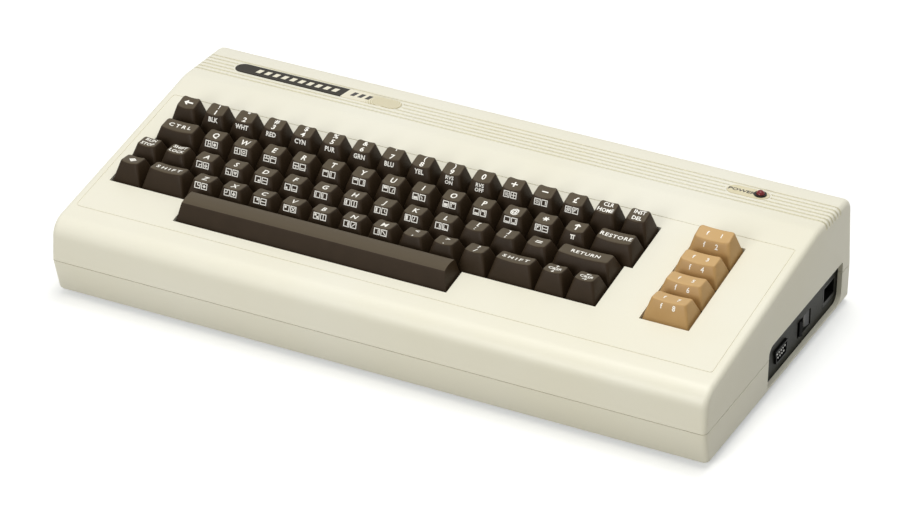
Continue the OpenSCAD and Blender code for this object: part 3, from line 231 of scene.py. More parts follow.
# Every key: row, left edge and width in cells, legend on the top, legend on the front. A top
# legend is a list of lines; a front legend is a word or two signs. Function keys have no cell.
caps = {
    "key_left_arrow": [(0, 0, 1, ["<-"], "")],
    "keys_1_3_5": [(0, 1, 1, ["!", "1"], "BLK"), (0, 3, 1, ["#", "3"], "RED"),
                   (0, 5, 1, ["%", "5"], "PUR")],
    "keys_2_4": [(0, 2, 1, ['"', "2"], "WHT"), (0, 4, 1, ["$", "4"], "CYN")],
    "keys_6_8_0_minus": [(0, 6, 1, ["&", "6"], "GRN"), (0, 8, 1, ["(", "8"], "YEL"),
                         (0, 10, 1, ["0"], "RVS OFF"), (0, 12, 1, ["-"], "grey right")],
    "keys_7_9_plus_pound": [(0, 7, 1, ["'", "7"], "BLU"), (0, 9, 1, [")", "9"], "RVS ON"),
                            (0, 11, 1, ["+"], "grey cross"), (0, 13, 1, ["£"], "shade wedge")],
    "key_clear_home": [(0, 14, 1, ["CLR", "HOME"], "")],
    "key_insert_delete": [(0, 15, 1, ["INST", "DEL"], "")],
    "key_ctrl": [(1, 0, 1.5, ["CTRL"], "")],
    "keys_q_e_t": [(1, 1.5, 1, ["Q"], "tee_r disc"), (1, 3.5, 1, ["E"], "tee_u high"),
                   (1, 5.5, 1, ["T"], "top left")],
    "keys_w_r": [(1, 2.5, 1, ["W"], "tee_l ring"), (1, 4.5, 1, ["R"], "tee_d low")],
    "keys_y_i_p_star": [(1, 6.5, 1, ["Y"], "thick right"), (1, 8.5, 1, ["I"], "half bend_b"),
                        (1, 10.5, 1, ["P"], "foot angle_b"), (1, 12.5, 1, ["*"], "wedge mid")],
    "keys_u_o_at_up": [(1, 7.5, 1, ["U"], "upper bend_a"), (1, 9.5, 1, ["O"], "lower angle_a"),
                       (1, 11.5, 1, ["@"], "base angle_d"), (1, 13.5, 1, ["^|"], "pi")],
    "key_restore": [(1, 14.5, 1.5, ["RESTORE"], "")],
    "key_run_stop": [(2, -0.25, 1, ["RUN", "STOP"], "")],
    "key_shift_lock": [(2, 0.75, 1, ["SHIFT", "LOCK"], "")],
    "keys_a_d_g": [(2, 1.75, 1, ["A"], "corner_a spade"), (2, 3.75, 1, ["D"], "quad_d mid"),
                   (2, 5.75, 1, ["G"], "left left")],
    "keys_s_f": [(2, 2.75, 1, ["S"], "corner_b heart"), (2, 4.75, 1, ["F"], "quad_c low")],
    "keys_h_k_colon_equals": [(2, 6.75, 1, ["H"], "side bar"), (2, 8.75, 1, ["K"], "halfside bend_d"),
                              (2, 10.75, 1, ["[", ":"], ""), (2, 12.75, 1, ["="], "")],
    "keys_j_l_semicolon": [(2, 7.75, 1, ["J"], "side bend_c"), (2, 9.75, 1, ["L"], "right angle_c"),
                           (2, 11.75, 1, ["]", ";"], "")],
    "key_return": [(2, 13.75, 2, ["RETURN"], "")],
    "key_symbol": [(3, -0.25, 1, ["<>"], "")],
    "key_left_shift": [(3, 0.75, 1.5, ["SHIFT"], "")],
    "keys_z_c_b": [(3, 2.25, 1, ["Z"], "corner_c diamond"), (3, 4.25, 1, ["C"], "quad_b mid"),
                   (3, 6.25, 1, ["B"], "check bar")],
    "keys_x_v": [(3, 3.25, 1, ["X"], "corner_d club"), (3, 5.25, 1, ["V"], "quad_a cross_x")],
    "keys_n_comma_slash": [(3, 7.25, 1, ["N"], "edge slope_a"), (3, 9.25, 1, ["<", ","], ""),
                           (3, 11.25, 1, ["?", "/"], "")],
    "keys_m_point": [(3, 8.25, 1, ["M"], "right slope_b"), (3, 10.25, 1, [">", "."], "")],
    "key_right_shift": [(3, 12.25, 1.5, ["SHIFT"], "")],
    "key_cursor_down": [(3, 13.75, 1, ["^|", "CRSR", "v|"], "")],
    "key_cursor_right": [(3, 14.75, 1, ["<-", "CRSR", "->"], "")],
    "key_f1": [(0, None, 1.5, ["f 1"], "f 2")],
    "key_f3": [(1, None, 1.5, ["f 3"], "f 4")],
    "key_f5": [(2, None, 1.5, ["f 5"], "f 6")],
    "key_f7": [(3, None, 1.5, ["f 7"], "f 8")],
}

# Sizes in millimetres, along and across the sloping deck
DECK_Z = 64.5  # height of the deck over the table at the middle of the case
DECK_TILT = 8.5  # its slope, in degrees
PITCH = 19.05  # one key cell
KEYS_LEFT = -185.25  # left edge of the first column
KEYS_REAR = 20.7  # rear edge of the first row
FUNCTION_X = 141.8 + PITCH * 0.75  # middle of the function keys
TOP_FRONT = 6.5 - PITCH / 2  # front edge of a cap's top, from the middle of its cell
TOP_DEPTH = 9.8  # the top from front to rear
TOP_IN = 7.8  # how much narrower the top is than its cells
DISH = 0.7  # depth of the dish
DISH_RIM = 0.8  # flat strip at the left and right of the dish
GAP = 0.4  # from a cap to the edge of its cell
RIM = -2  # lower edge of a cap
SKIRT_TOP = -1.4  # where the upright skirt ends and the leaning wall begins
WALL = 1.4  # thickness of the wall
ROLL = 1.1  # how far the rolled edge reaches down the wall and in over the top
FOOT_CORNER = 1.2  # radii of the corners at the skirt, round the top and inside
TOP_CORNER = 2.0
INNER_CORNER = 0.4
FRONT = (11.6, 9.9, 9.8, 11.1)  # height of the top's front edge, row by row from the rear
RISE = (1.2, -0.4, -1.7, -2.6)  # how much higher the top's rear edge is
CUP = 4.2  # radii of the spring's cup, of its neck, of its bore and of the plunger
CUP_NECK = 3.0
CUP_BORE = 3.1
PLUNGER = 2.0
CUP_LOW = -0.7  # heights of the cup's lower edge, of its bore's end and of its shoulder
CUP_TOP = 5.0
CUP_SHOULDER = 7.0
PLUNGER_TIP = -12.0  # lower end of the plunger
deck = Matrix.Translation((0, 0, DECK_Z)) @ Matrix.Rotation(math.radians(DECK_TILT), 4, "X")


def key_place(row, left, units):
    """The middle of a key on the deck, with X to the right and Y up the slope."""
    x = FUNCTION_X if left is None else KEYS_LEFT + PITCH * (left + units / 2)
    return deck @ Matrix.Translation((x, KEYS_REAR - PITCH * (row + 0.5), 0))


def dish(x, units):
    """How far the top lies below its edge, that far from the middle of a cap."""
    half = (PITCH * units - TOP_IN) / 2 - DISH_RIM
    bend = (half * half + DISH * DISH) / (2 * DISH)
    return bend - DISH - math.sqrt(bend * bend - min(abs(x), half) ** 2)


def outline(half_x, half_y, corner, along):
    """A rounded rectangle's points, with some between the corners of its front and rear side."""
    points = []
    for quarter, (sx, sy) in enumerate(((1, 1), (-1, 1), (-1, -1), (1, -1))):
        for step in range(5):
            turn = math.radians(90 * quarter + 22.5 * step)
            points.append((sx * (half_x - corner) + corner * math.cos(turn),
                           sy * (half_y - corner) + corner * math.sin(turn)))
        if quarter % 2 == 0:
            for i in range(1, along + 1):
                points.append((sx * (half_x - corner) * (1 - 2 * i / (along + 1)), sy * half_y))
    return points


def loft(bm, rings, place):
    """Extrudes a face from ring to ring; the last ring closes on itself."""
    face = bm.faces.new([bm.verts.new(place @ Vector(point)) for point in rings[0]])
    for ring in rings[1:]:
        raised = bmesh.ops.extrude_face_region(bm, geom=[face, *face.edges, *face.verts])["geom"]
        face = next(part for part in raised if isinstance(part, bmesh.types.BMFace))
        for vert, point in zip(face.verts, ring):
            vert.co = place @ Vector(point)
    bmesh.ops.delete(bm, geom=[face], context="FACES_ONLY")


def turned(bm, profile, place):
    """Spins a profile of radii and heights, which begins and ends on the axis, once round."""
    verts = [bm.verts.new(place @ Vector((radius, 0, z))) for radius, z in profile]
    edges = [bm.edges.new(ends) for ends in zip(verts, verts[1:])]
    bmesh.ops.spin(bm, geom=verts + edges, cent=place.translation, angle=2 * math.pi, steps=24,
                   axis=place.to_3x3() @ Vector((0, 0, 1)), use_merge=True)


def cap(bm, units, row, place):
    """One hollow cap: straight walls, an edge rolled over to the dished top, and its plunger."""
    half_w, half_d = PITCH * units / 2 - GAP, PITCH / 2 - GAP
    top_w, top_d = (PITCH * units - TOP_IN) / 2, TOP_DEPTH / 2
    middle = TOP_FRONT + top_d
    along = round(5 * units)

    def slope(y):
        return FRONT[row] + RISE[row] * (y - TOP_FRONT) / TOP_DEPTH

    def top(x, y):
        return slope(y) + dish(x, units)

    # From the roof down the inside, round the rim and up the skirt
    roof = min(FRONT[row], FRONT[row] + RISE[row]) - DISH - WALL
    share = (roof - SKIRT_TOP) / (slope(middle) - SKIRT_TOP)
    under = outline(half_w + (top_w - half_w) * share - WALL,
                    half_d + (top_d - half_d) * share - WALL, INNER_CORNER, along)
    inside = outline(half_w - WALL, half_d - WALL, INNER_CORNER, along)
    foot = outline(half_w, half_d, FOOT_CORNER, along)
    rings = [[(x, y + middle * share, roof) for x, y in under],
             [(x, y, RIM) for x, y in inside],
             [(x, y, RIM) for x, y in foot],
             [(x, y, SKIRT_TOP) for x, y in foot]]
    # The wall's line meets the dished top at the crest, and the rolled edge bends round it
    crests, starts = [], []
    for (x, y), (u, v) in zip(foot, outline(top_w, top_d, TOP_CORNER, along)):
        low = Vector((x, y, SKIRT_TOP))
        high = Vector((u, v + middle, slope(v + middle)))
        crest = low.lerp(high, (top(u, v + middle) - SKIRT_TOP) / (high.z - SKIRT_TOP))
        crests.append(crest)
        starts.append(crest + (low - crest).normalized() * ROLL)
    ends = [Vector((x, y + middle, top(x, y + middle)))
            for x, y in outline(top_w - ROLL, top_d - ROLL, TOP_CORNER - ROLL, along)]
    for t in (0, 0.25, 0.5, 0.75, 1):
        rings.append([a * (1 - t) ** 2 + b * 2 * t * (1 - t) + c * t * t
                      for a, b, c in zip(starts, crests, ends)])
    # The top closes in three steps on a line along its middle
    for t in (1 / 3, 2 / 3, 1):
        flat = outline(top_w - ROLL - (top_d - ROLL) * t, (top_d - ROLL) * (1 - t),
                       (TOP_CORNER - ROLL) * (1 - t), along)
        rings.append([(x, y + middle, top(x, y + middle)) for x, y in flat])
    loft(bm, rings, place)
    # The spring's cup narrows to a neck below the roof, so that it stays behind the leaning wall
    shoulder = min(roof - 0.5, CUP_SHOULDER)
    neck_top = roof + 0.4
    turned(bm, ((0, neck_top), (CUP_NECK, neck_top), (CUP_NECK, shoulder), (CUP, shoulder),
                (CUP, CUP_LOW), (CUP_BORE, CUP_LOW), (CUP_BORE, CUP_TOP), (PLUNGER, CUP_TOP),
                (PLUNGER, PLUNGER_TIP), (0, PLUNGER_TIP)), place)


def keep(name, bm, finish, body, smooth=True):
    """Makes the piece from a bmesh in millimetres and lets it ride on a body."""
    bmesh.ops.scale(bm, vec=(MM, MM, MM), verts=bm.verts)
    mesh = bpy.data.meshes.new(name)
    bm.to_mesh(mesh)
    bm.free()
    if smooth:
        mesh.shade_smooth()
        mesh.set_sharp_from_angle(angle=math.radians(35))
    mesh.materials.append(finish)
    piece = bpy.data.objects.new(name, mesh)
    bpy.context.scene.collection.objects.link(piece)
    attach(piece, body)
    return piece


for name, group in caps.items():
    plastic, slot = (tan_abs, "key_tan") if name.startswith("key_f") else (dark_abs, "key_dark")
    bm = bmesh.new()
    for row, left, units, _, _ in group:
        cap(bm, units, row, key_place(row, left, units))
    bmesh.ops.remove_doubles(bm, verts=bm.verts, dist=0.001)
    bmesh.ops.recalc_face_normals(bm, faces=bm.faces)
    piece = keep("caps_" + name, bm, plastic, name)
    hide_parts(name)

# ---- Legends ----
# White ink printed on the tops and fronts of the caps, a few hundredths of a millimetre thick:
# letters, digits and small block signs.

# White ink: flat and clean, the brightest thing on the keyboard
white_ink = moulded("white_legend_ink", "#fffdf6", "#fbf8ee", 0.5, 0.6, 0.0)
INK = 0.06

# A sign is a list of bars (x, y, width, height, turn) in tenths of its square; a bar with no
# height is a disc of that width.
signs = {
    "tee_r": [(5, 5, 1.6, 10, 0), (7.5, 5, 5, 1.6, 0)],
    "tee_l": [(5, 5, 1.6, 10, 0), (2.5, 5, 5, 1.6, 0)],
    "tee_u": [(5, 5, 10, 1.6, 0), (5, 7.5, 1.6, 5, 0)],
    "tee_d": [(5, 5, 10, 1.6, 0), (5, 2.5, 1.6, 5, 0)],
    "cross": [(5, 5, 10, 1.6, 0), (5, 5, 1.6, 10, 0)],
    "cross_x": [(5, 5, 1.6, 12, 45), (5, 5, 1.6, 12, -45)],
    "corner_a": [(7.5, 5, 5, 1.6, 0), (5, 2.9, 1.6, 5.8, 0)],
    "corner_b": [(2.5, 5, 5, 1.6, 0), (5, 2.9, 1.6, 5.8, 0)],
    "corner_c": [(7.5, 5, 5, 1.6, 0), (5, 7.1, 1.6, 5.8, 0)],
    "corner_d": [(2.5, 5, 5, 1.6, 0), (5, 7.1, 1.6, 5.8, 0)],
    "angle_a": [(5, 9, 8, 1.6, 0), (1.8, 5, 1.6, 8, 0)],
    "angle_b": [(5, 9, 8, 1.6, 0), (8.2, 5, 1.6, 8, 0)],
    "angle_c": [(5, 1, 8, 1.6, 0), (1.8, 5, 1.6, 8, 0)],
    "angle_d": [(5, 1, 8, 1.6, 0), (8.2, 5, 1.6, 8, 0)],
    "bend_a": [(5.6, 3, 1.6, 4.5, 0), (7, 6.2, 1.6, 4, -45)],
    "bend_b": [(4.4, 3, 1.6, 4.5, 0), (3, 6.2, 1.6, 4, 45)],
    "bend_c": [(5.6, 7, 1.6, 4.5, 0), (7, 3.8, 1.6, 4, 45)],
    "bend_d": [(4.4, 7, 1.6, 4.5, 0), (3, 3.8, 1.6, 4, -45)],
    "high": [(5, 7.4, 10, 1.6, 0)], "low": [(5, 2.4, 10, 1.6, 0)], "mid": [(5, 5, 10, 1.6, 0)],
    "bar": [(5, 5, 1.6, 10, 0)], "left": [(2, 5, 1.8, 9, 0)], "right": [(8, 5, 1.8, 9, 0)],
    "top": [(5, 9, 9, 1.8, 0)], "thick": [(5, 8.4, 9, 3, 0)], "upper": [(5, 7.6, 9, 4.4, 0)],
    "half": [(5, 2.6, 9, 4.8, 0)], "lower": [(5, 3.4, 9, 6.4, 0)], "foot": [(5, 1.9, 9, 3.4, 0)],
    "base": [(5, 1.2, 9, 2, 0)], "side": [(2.8, 5, 4, 9, 0)], "halfside": [(2.8, 5, 5, 9, 0)],
    "edge": [(8.4, 5, 2.6, 9, 0)],
    "quad_a": [(2.7, 7.3, 4.6, 4.6, 0)], "quad_b": [(7.3, 7.3, 4.6, 4.6, 0)],
    "quad_c": [(2.7, 2.7, 4.6, 4.6, 0)], "quad_d": [(7.3, 2.7, 4.6, 4.6, 0)],
    "check": [(2.7, 7.3, 4.6, 4.6, 0), (7.3, 2.7, 4.6, 4.6, 0)],
    "grey": [(2, 8, 2, 2, 0), (6, 8, 2, 2, 0), (4, 6, 2, 2, 0), (8, 6, 2, 2, 0), (2, 4, 2, 2, 0),
             (6, 4, 2, 2, 0), (4, 2, 2, 2, 0), (8, 2, 2, 2, 0)],
    "shade": [(3, 7, 1.4, 6, -45), (5, 5, 1.4, 11, -45), (7, 3, 1.4, 6, -45)],
    "wedge": [(3.4, 6.6, 5, 5, 0), (5, 8.6, 8, 1.8, 0), (1.6, 5, 1.8, 8, 0)],
    "disc": [(5, 5, 7, 0, 0)],
    "ring": [(5, 7.6, 5, 1.6, 0), (5, 2.4, 5, 1.6, 0), (2.4, 5, 1.6, 5, 0), (7.6, 5, 1.6, 5, 0)],
    "spade": [(3.2, 4.2, 4, 0, 0), (6.8, 4.2, 4, 0, 0), (5, 5.8, 4, 4, 45), (5, 2, 1.4, 3.4, 0)],
    "heart": [(3.2, 6.4, 4, 0, 0), (6.8, 6.4, 4, 0, 0), (5, 4.6, 4.6, 4.6, 45)],
    "club": [(3, 4.2, 3.8, 0, 0), (7, 4.2, 3.8, 0, 0), (5, 7.2, 3.8, 0, 0), (5, 3, 1.6, 5, 0)],
    "diamond": [(5, 5, 5.4, 5.4, 45)],
    "slope_a": [(5, 5, 1.6, 12, -45)], "slope_b": [(5, 5, 1.6, 12, 45)],
    "pi": [(5, 7.4, 8.4, 1.9, 0), (3.4, 4, 1.8, 6, 0), (6.8, 4, 1.8, 6, 0)],
    "+": [(5, 5, 6, 1.3, 0), (5, 5, 1.3, 6, 0)],
    "-": [(5, 5, 6, 1.3, 0)],
    "=": [(5, 6.2, 6, 1.2, 0), (5, 3.8, 6, 1.2, 0)],
    "*": [(5, 5, 6, 1.2, 0), (5, 5, 1.2, 6, 30), (5, 5, 1.2, 6, -30)],
    "<-": [(5.4, 5, 8, 1.7, 0), (2.6, 6, 1.5, 4, -45), (2.6, 4, 1.5, 4, 45)],
    "->": [(4.6, 5, 8, 1.4, 0), (7.4, 6, 1.4, 4, 45), (7.4, 4, 1.4, 4, -45)],
    "^|": [(5, 4.6, 1.4, 8, 0), (3.9, 7.4, 1.4, 4, -45), (6.1, 7.4, 1.4, 4, 45)],
    "v|": [(5, 5.4, 1.4, 8, 0), (3.9, 2.6, 1.4, 4, 45), (6.1, 2.6, 1.4, 4, -45)],
    "<>": [(3.6, 6.4, 1.4, 5.4, -45), (6.4, 6.4, 1.4, 5.4, 45), (3.6, 3.6, 1.4, 5.4, 45),
           (6.4, 3.6, 1.4, 5.4, -45), (5, 5, 2.2, 2.2, 45)],
}
BOX_BAR = 1.3  # width of a box's outline, and the least of a bar in it, in tenths of the box
IN_BOX = 0.68  # size of a sign in its box


def stamp(bm, name, size, place, boxed=False):
    """Adds a sign, and its square outline if it is boxed, lying on the plane of place."""
    bars = signs[name]
    if boxed:
        near, far = BOX_BAR / 2, 10 - BOX_BAR / 2
        bars = [(5 + (x - 5) * IN_BOX, 5 + (y - 5) * IN_BOX, max(w * IN_BOX, BOX_BAR),
                 h and max(h * IN_BOX, BOX_BAR), turn) for x, y, w, h, turn in bars]
        bars += [(5, near, 10, BOX_BAR, 0), (5, far, 10, BOX_BAR, 0),
                 (near, 5, BOX_BAR, 8, 0), (far, 5, BOX_BAR, 8, 0)]
    tenth = size / 10
    for x, y, w, h, turn in bars:
        spot = place @ Matrix.Translation(((x - 5) * tenth, (y - 5) * tenth, INK / 2))
        spot = spot @ Matrix.Rotation(math.radians(turn), 4, "Z")
        if h:
            bmesh.ops.create_cube(bm, size=1, matrix=spot @ Matrix.Diagonal(
                (w * tenth, h * tenth, INK, 1)))
        else:
            bmesh.ops.create_cone(bm, cap_ends=True, segments=16, radius1=w * tenth / 2,
                                  radius2=w * tenth / 2, depth=INK, matrix=spot)


CAPITAL = 0.73  # height of a capital for lettering of size 1
letter_shapes = {}  # each line of lettering that was drawn before, by its words and its form


def letters(bm, words, height, place, squeeze=0.82, space=1.0, weight=0.028):
    """Adds a line of lettering with capitals of that height, centred on place."""
    key = (words, height, squeeze, space, weight)
    if key not in letter_shapes:
        line = bpy.data.curves.new("lettering", "FONT")
        line.body = words
        line.size = height / CAPITAL
        line.align_x = "CENTER"
        line.resolution_u = 2
        line.extrude = INK / 2
        line.offset = weight * height
        line.space_character = space
        holder = bpy.data.objects.new("lettering", line)
        bpy.context.scene.collection.objects.link(holder)
        shape = bpy.data.meshes.new_from_object(holder.evaluated_get(
            bpy.context.evaluated_depsgraph_get()))
        bpy.data.objects.remove(holder)
        shape.transform(Matrix.Diagonal((squeeze, 1, 1, 1)) @ Matrix.Translation(
            (0, -height / 2, INK / 2)))
        letter_shapes[key] = shape
    before = set(bm.verts)
    bm.from_mesh(letter_shapes[key])
    fresh = [v for v in bm.verts if v not in before]
    bmesh.ops.remove_doubles(bm, verts=fresh, dist=0.0005)
    fresh = [v for v in bm.verts if v not in before]
    bmesh.ops.transform(bm, matrix=place, verts=fresh)


def top_legend(bm, lines, tan):
    """Draws the legend of a cap's top, flat, about the middle of the top, in millimetres."""
    if len(lines) == 1 and lines[0] in signs:
        stamp(bm, lines[0], 6.4, Matrix())
    elif tan:
        for part, dx in zip(lines[0].split(), (-4.2, 4.2)):
            letters(bm, part, 3.1, Matrix.Translation((dx, 0, 0)), 0.9)
    elif len(lines) == 3:
        stamp(bm, lines[0], 3.4, Matrix.Translation((0, 3.1, 0)))
        letters(bm, lines[1], 2.7, Matrix(), 0.9)
        stamp(bm, lines[2], 3.4, Matrix.Translation((0, -3.1, 0)))
    elif len(lines) == 2 and len(lines[1]) > 1:
        letters(bm, lines[0], 2.9, Matrix.Translation((0, 2.5, 0)), 0.86)
        letters(bm, lines[1], 2.9, Matrix.Translation((0, -2.2, 0)), 0.86)
    elif len(lines) == 2:
        letters(bm, lines[0], 3.2, Matrix.Translation((0, 2.5, 0)), 1.1)
        letters(bm, lines[1], 3.6, Matrix.Translation((0, -2.2, 0)), 1.05)
    elif len(lines[0]) > 5:
        letters(bm, lines[0], 3.1, Matrix(), 1.0, 1.15)
    elif len(lines[0]) > 1:
        letters(bm, lines[0], 3.1, Matrix(), 1.1, 1.45)
    else:
        letters(bm, lines[0], 4.5, Matrix())


def front_legend(bm, words, tan, face):
    """Adds the legend of a cap's front, in millimetres below the edge of its top, on its wall."""
    pair = words.split()
    if words == "pi":
        stamp(bm, words, 3.6, face @ Matrix.Translation((0, -3.4, 0)))
    elif len(pair) == 2 and pair[0] in signs:
        for part, dx in zip(pair, (-2.15, 2.15)):
            stamp(bm, part, 3.8, face @ Matrix.Translation((dx, -3.1, 0)), boxed=True)
    elif tan:
        for part, dx in zip(pair, (-3.7, 3.7)):
            letters(bm, part, 3.1, face @ Matrix.Translation((dx, -3.4, 0)), 0.9)
    elif len(pair) == 2:
        for part, dy in zip(pair, (-2.1, -4.9)):
            letters(bm, part, 2.2, face @ Matrix.Translation((0, dy, 0)), 1.0, 1.05, 0.04)
    elif words:
        letters(bm, words, 2.8, face @ Matrix.Translation((0, -3.0, 0)), 0.88, 1.05, 0.045)


for name, group in caps.items():
    tan = name.startswith("key_f")
    bm = bmesh.new()
    for row, left, units, lines, words in group:
        edge = key_place(row, left, units) @ Matrix.Translation((0, TOP_FRONT, FRONT[row]))
        # The top's legend is drawn flat, bent into the dish and laid on the sloping top
        flat = bmesh.new()
        top_legend(flat, lines, tan)
        for v in flat.verts:
            v.co.z += dish(v.co.x, units)
        rise = Matrix.Rotation(math.atan(RISE[row] / TOP_DEPTH), 4, "X")
        bmesh.ops.transform(flat, matrix=edge @ rise @ Matrix.Translation((0, TOP_DEPTH / 2, 0)),
                            verts=flat.verts)
        sheet = bpy.data.meshes.new("sheet")
        flat.to_mesh(sheet)
        flat.free()
        bm.from_mesh(sheet)
        bpy.data.meshes.remove(sheet)
        # The front's legend lies on the wall between the skirt and the edge of the top
        lean = math.atan2(FRONT[row] - SKIRT_TOP, TOP_FRONT - GAP + PITCH / 2)
        front_legend(bm, words, tan, edge @ Matrix.Rotation(lean, 4, "X"))
    keep("legend_" + name, bm, white_ink, name, smooth=False)

# ---- Space bar and keyboard frame ----
# The space bar is one long hollow moulding of the caps' plastic. The frame is a black plate with
# the plungers' guides, seen only in the gaps between the caps.

dress("space_bar", dark_abs, 0.5)
# Matt black ABS: swallows the light, so the gaps between the caps stay dark
dress("keyboard_frame", moulded("matt_black_abs", "#1c1b19", "#232120", 0.55, 1.0, 0.02))

# ---- Badges and power lamp ----
# The name badge is a strip of anodised aluminium set in a pocket of the ridge, dark on the left
# and champagne on the right, with a printed row of plain slanted strokes. A small plate of the
# same metal surrounds the lamp, a red epoxy dome in a black nylon clip.

RIDGE_Y, RIDGE_Z, RIDGE_FALL = 51, 72.12, 3  # front edge and height of the ridge, fall in degrees
BADGE_Y = 23  # middle of the badges behind the ridge's front edge
BADGE_TOP = 0.4  # how far the name badge stands out of the ridge
BORDER_X = -114.05  # where the strip's dark part meets its champagne part, but for its slant
BORDER_SLANT = -0.1  # sideways run of that border per length along Y
RINGS_X, RINGS_Y = -82, 73.8  # middle of the champagne part's turned rings
RING_STEP = 1.309  # distance from ring to ring
RINGS_START, RINGS_FULL = -93, -88  # where the rings begin to show, and where they are clear
ridge = Matrix.Translation((0, RIDGE_Y, RIDGE_Z)) @ Matrix.Rotation(math.radians(-RIDGE_FALL), 4, "X")

# Anodised aluminium under a dull clear lacquer: fine brush lines along the dark part, and faint
# turned rings in the champagne part
strip, tree = new_finish("anodised_aluminium_strip")
place = add(tree, "ShaderNodeTexCoord").outputs["Object"]
axes = add(tree, "ShaderNodeSeparateXYZ", {0: place})
slant = add(tree, "ShaderNodeMath", {0: axes.outputs["Y"], 1: BORDER_SLANT, 2: axes.outputs["X"]},
            operation="MULTIPLY_ADD")
border = add(tree, "ShaderNodeMapRange", {"Value": slant.outputs[0], 1: (BORDER_X - 0.15) * MM,
                                          2: (BORDER_X + 0.15) * MM})
# Brush lines 17 mm long and 0.11 mm apart
brushed = add(tree, "ShaderNodeMapping", {"Vector": place, "Scale": (60, 9000, 9000)})
lines = add(tree, "ShaderNodeTexNoise", {"Vector": brushed.outputs[0], "Scale": 1.0, "Detail": 3.0})
dark_part = add(tree, "ShaderNodeMix", {0: lines.outputs[0], 6: srgb("#2d2920"), 7: srgb("#35312a")},
                data_type="RGBA")
centred = add(tree, "ShaderNodeMapping", {"Vector": place,
                                          "Location": (-RINGS_X * MM, -RINGS_Y * MM, 0)})
rings = add(tree, "ShaderNodeTexWave", {"Vector": centred.outputs[0], "Distortion": 0.4,
                                        "Scale": math.pi / (10 * RING_STEP * MM)},
            wave_type="RINGS", rings_direction="Z")
near = add(tree, "ShaderNodeMapRange", {"Value": axes.outputs["X"], 1: RINGS_START * MM,
                                        2: RINGS_FULL * MM})
near = add(tree, "ShaderNodeMath", {0: near.outputs[0], 1: rings.outputs[1]}, operation="MULTIPLY")
pale_part = add(tree, "ShaderNodeMix", {0: near.outputs[0], 6: srgb("#efe9d3"), 7: srgb("#c6bb92")},
                data_type="RGBA")
both = add(tree, "ShaderNodeMix", {0: border.outputs[0], 6: dark_part.outputs[2],
                                   7: pale_part.outputs[2]}, data_type="RGBA")
lacquer = add(tree, "ShaderNodeBsdfPrincipled", {
    "Base Color": both.outputs[2], "Roughness": 0.42, "Specular IOR Level": 0.12})
add(tree, "ShaderNodeOutputMaterial", {"Surface": lacquer.outputs[0]})
dress("name_badge", strip, 0.15)

# Champagne lacquer on the lamp's plate: pale gold, flat, with a faint mottle
dress("lamp_plate", moulded("champagne_lacquer", "#e3dab9", "#dad0ab", 0.4, 0.5, 0.0, 8), 0.1)

# Screen inks: flat cream on the dark part, flat near-black on the champagne part
cream_ink = moulded("cream_screen_ink", "#f1ecd8", "#e9e2ca", 0.45, 0.5, 0.0)
black_ink = moulded("black_screen_ink", "#2a2620", "#322d26", 0.45, 0.5, 0.0)
LEAN = Matrix(((1, 0.2, 0, 0), (0, 1, 0, 0), (0, 0, 1, 0), (0, 0, 0, 1)))  # a slant of 1 in 5


def stroke(bm, x, y, width, height):
    """Adds a slanted stroke on the name badge, with its middle at x and y on the ridge."""
    bmesh.ops.create_cube(bm, size=1, matrix=ridge @ Matrix.Translation(
        (x, y, BADGE_TOP + INK / 2)) @ LEAN @ Matrix.Diagonal((width, height, INK, 1)))


bm = bmesh.new()
for i in range(10):
    stroke(bm, -163.5 + 5.6 * i, BADGE_Y, 3.0, 4.4)
keep("badge_strokes", bm, cream_ink, "case")
bm = bmesh.new()
for i in range(3):
    stroke(bm, -101 + 4.8 * i, BADGE_Y + 0.6, 2.6, 5.0)
letters(bm, "POWER", 3.0, ridge @ Matrix.Translation((145.3, BADGE_Y, 0.22)), 1.15)
keep("badge_marks", bm, black_ink, "case", smooth=False)

# Red epoxy: a deep, wet red that is almost black until light catches its dome
red_epoxy, tree = new_finish("red_epoxy")
place = add(tree, "ShaderNodeTexCoord").outputs["Object"]
# Clouds 2 mm across
depth = add(tree, "ShaderNodeTexNoise", {"Vector": place, "Scale": 1000 / 2})
tint = add(tree, "ShaderNodeMix", {0: depth.outputs[0], 6: srgb("#6a080d"), 7: srgb("#7c0b11")},
           data_type="RGBA")
dome = add(tree, "ShaderNodeBsdfPrincipled", {
    "Base Color": tint.outputs[2], "Roughness": 0.1, "IOR": 1.56, "Specular IOR Level": 0.35})
add(tree, "ShaderNodeOutputMaterial", {"Surface": dome.outputs[0]})
dress("power_lamp", red_epoxy)
# Black nylon: a thin dark ring with a faint sheen round the dome
dress("lamp_holder", moulded("black_nylon", "#191715", "#1f1d1b", 0.4, 0.6, 0.01, 40, 0.15), 0.1)

# ---- Side panel, control port, switch and inlet ----
# A black ABS panel set back in the right side, with the control port's shell and its plated
# pins, the power switch's rocker and the power inlet, which are smoother black mouldings.

# Black ABS: a soft dark brown-black that shows its grain only in raking light
dress("side_panel", moulded("black_abs", "#1c1c16", "#22221c", 0.42, 0.8, 0.015, 15, 0.09), 0.25)
# Black polyester resin of the sockets: smooth, with a tight dim sheen
black_resin = moulded("black_polyester_resin", "#141413", "#191918", 0.35, 0.7, 0.01, 40, 0.12)
dress("control_port", black_resin)
dress("switch_housing", black_resin)
dress("power_inlet", black_resin)
# Polished black nylon: the only glossy black, so the rocker catches a highlight
rocker_nylon = moulded("polished_black_nylon", "#141415", "#191919", 0.2, 0.9, 0.004, 40, 0.14)
dress("power_rocker", rocker_nylon, 0.3)


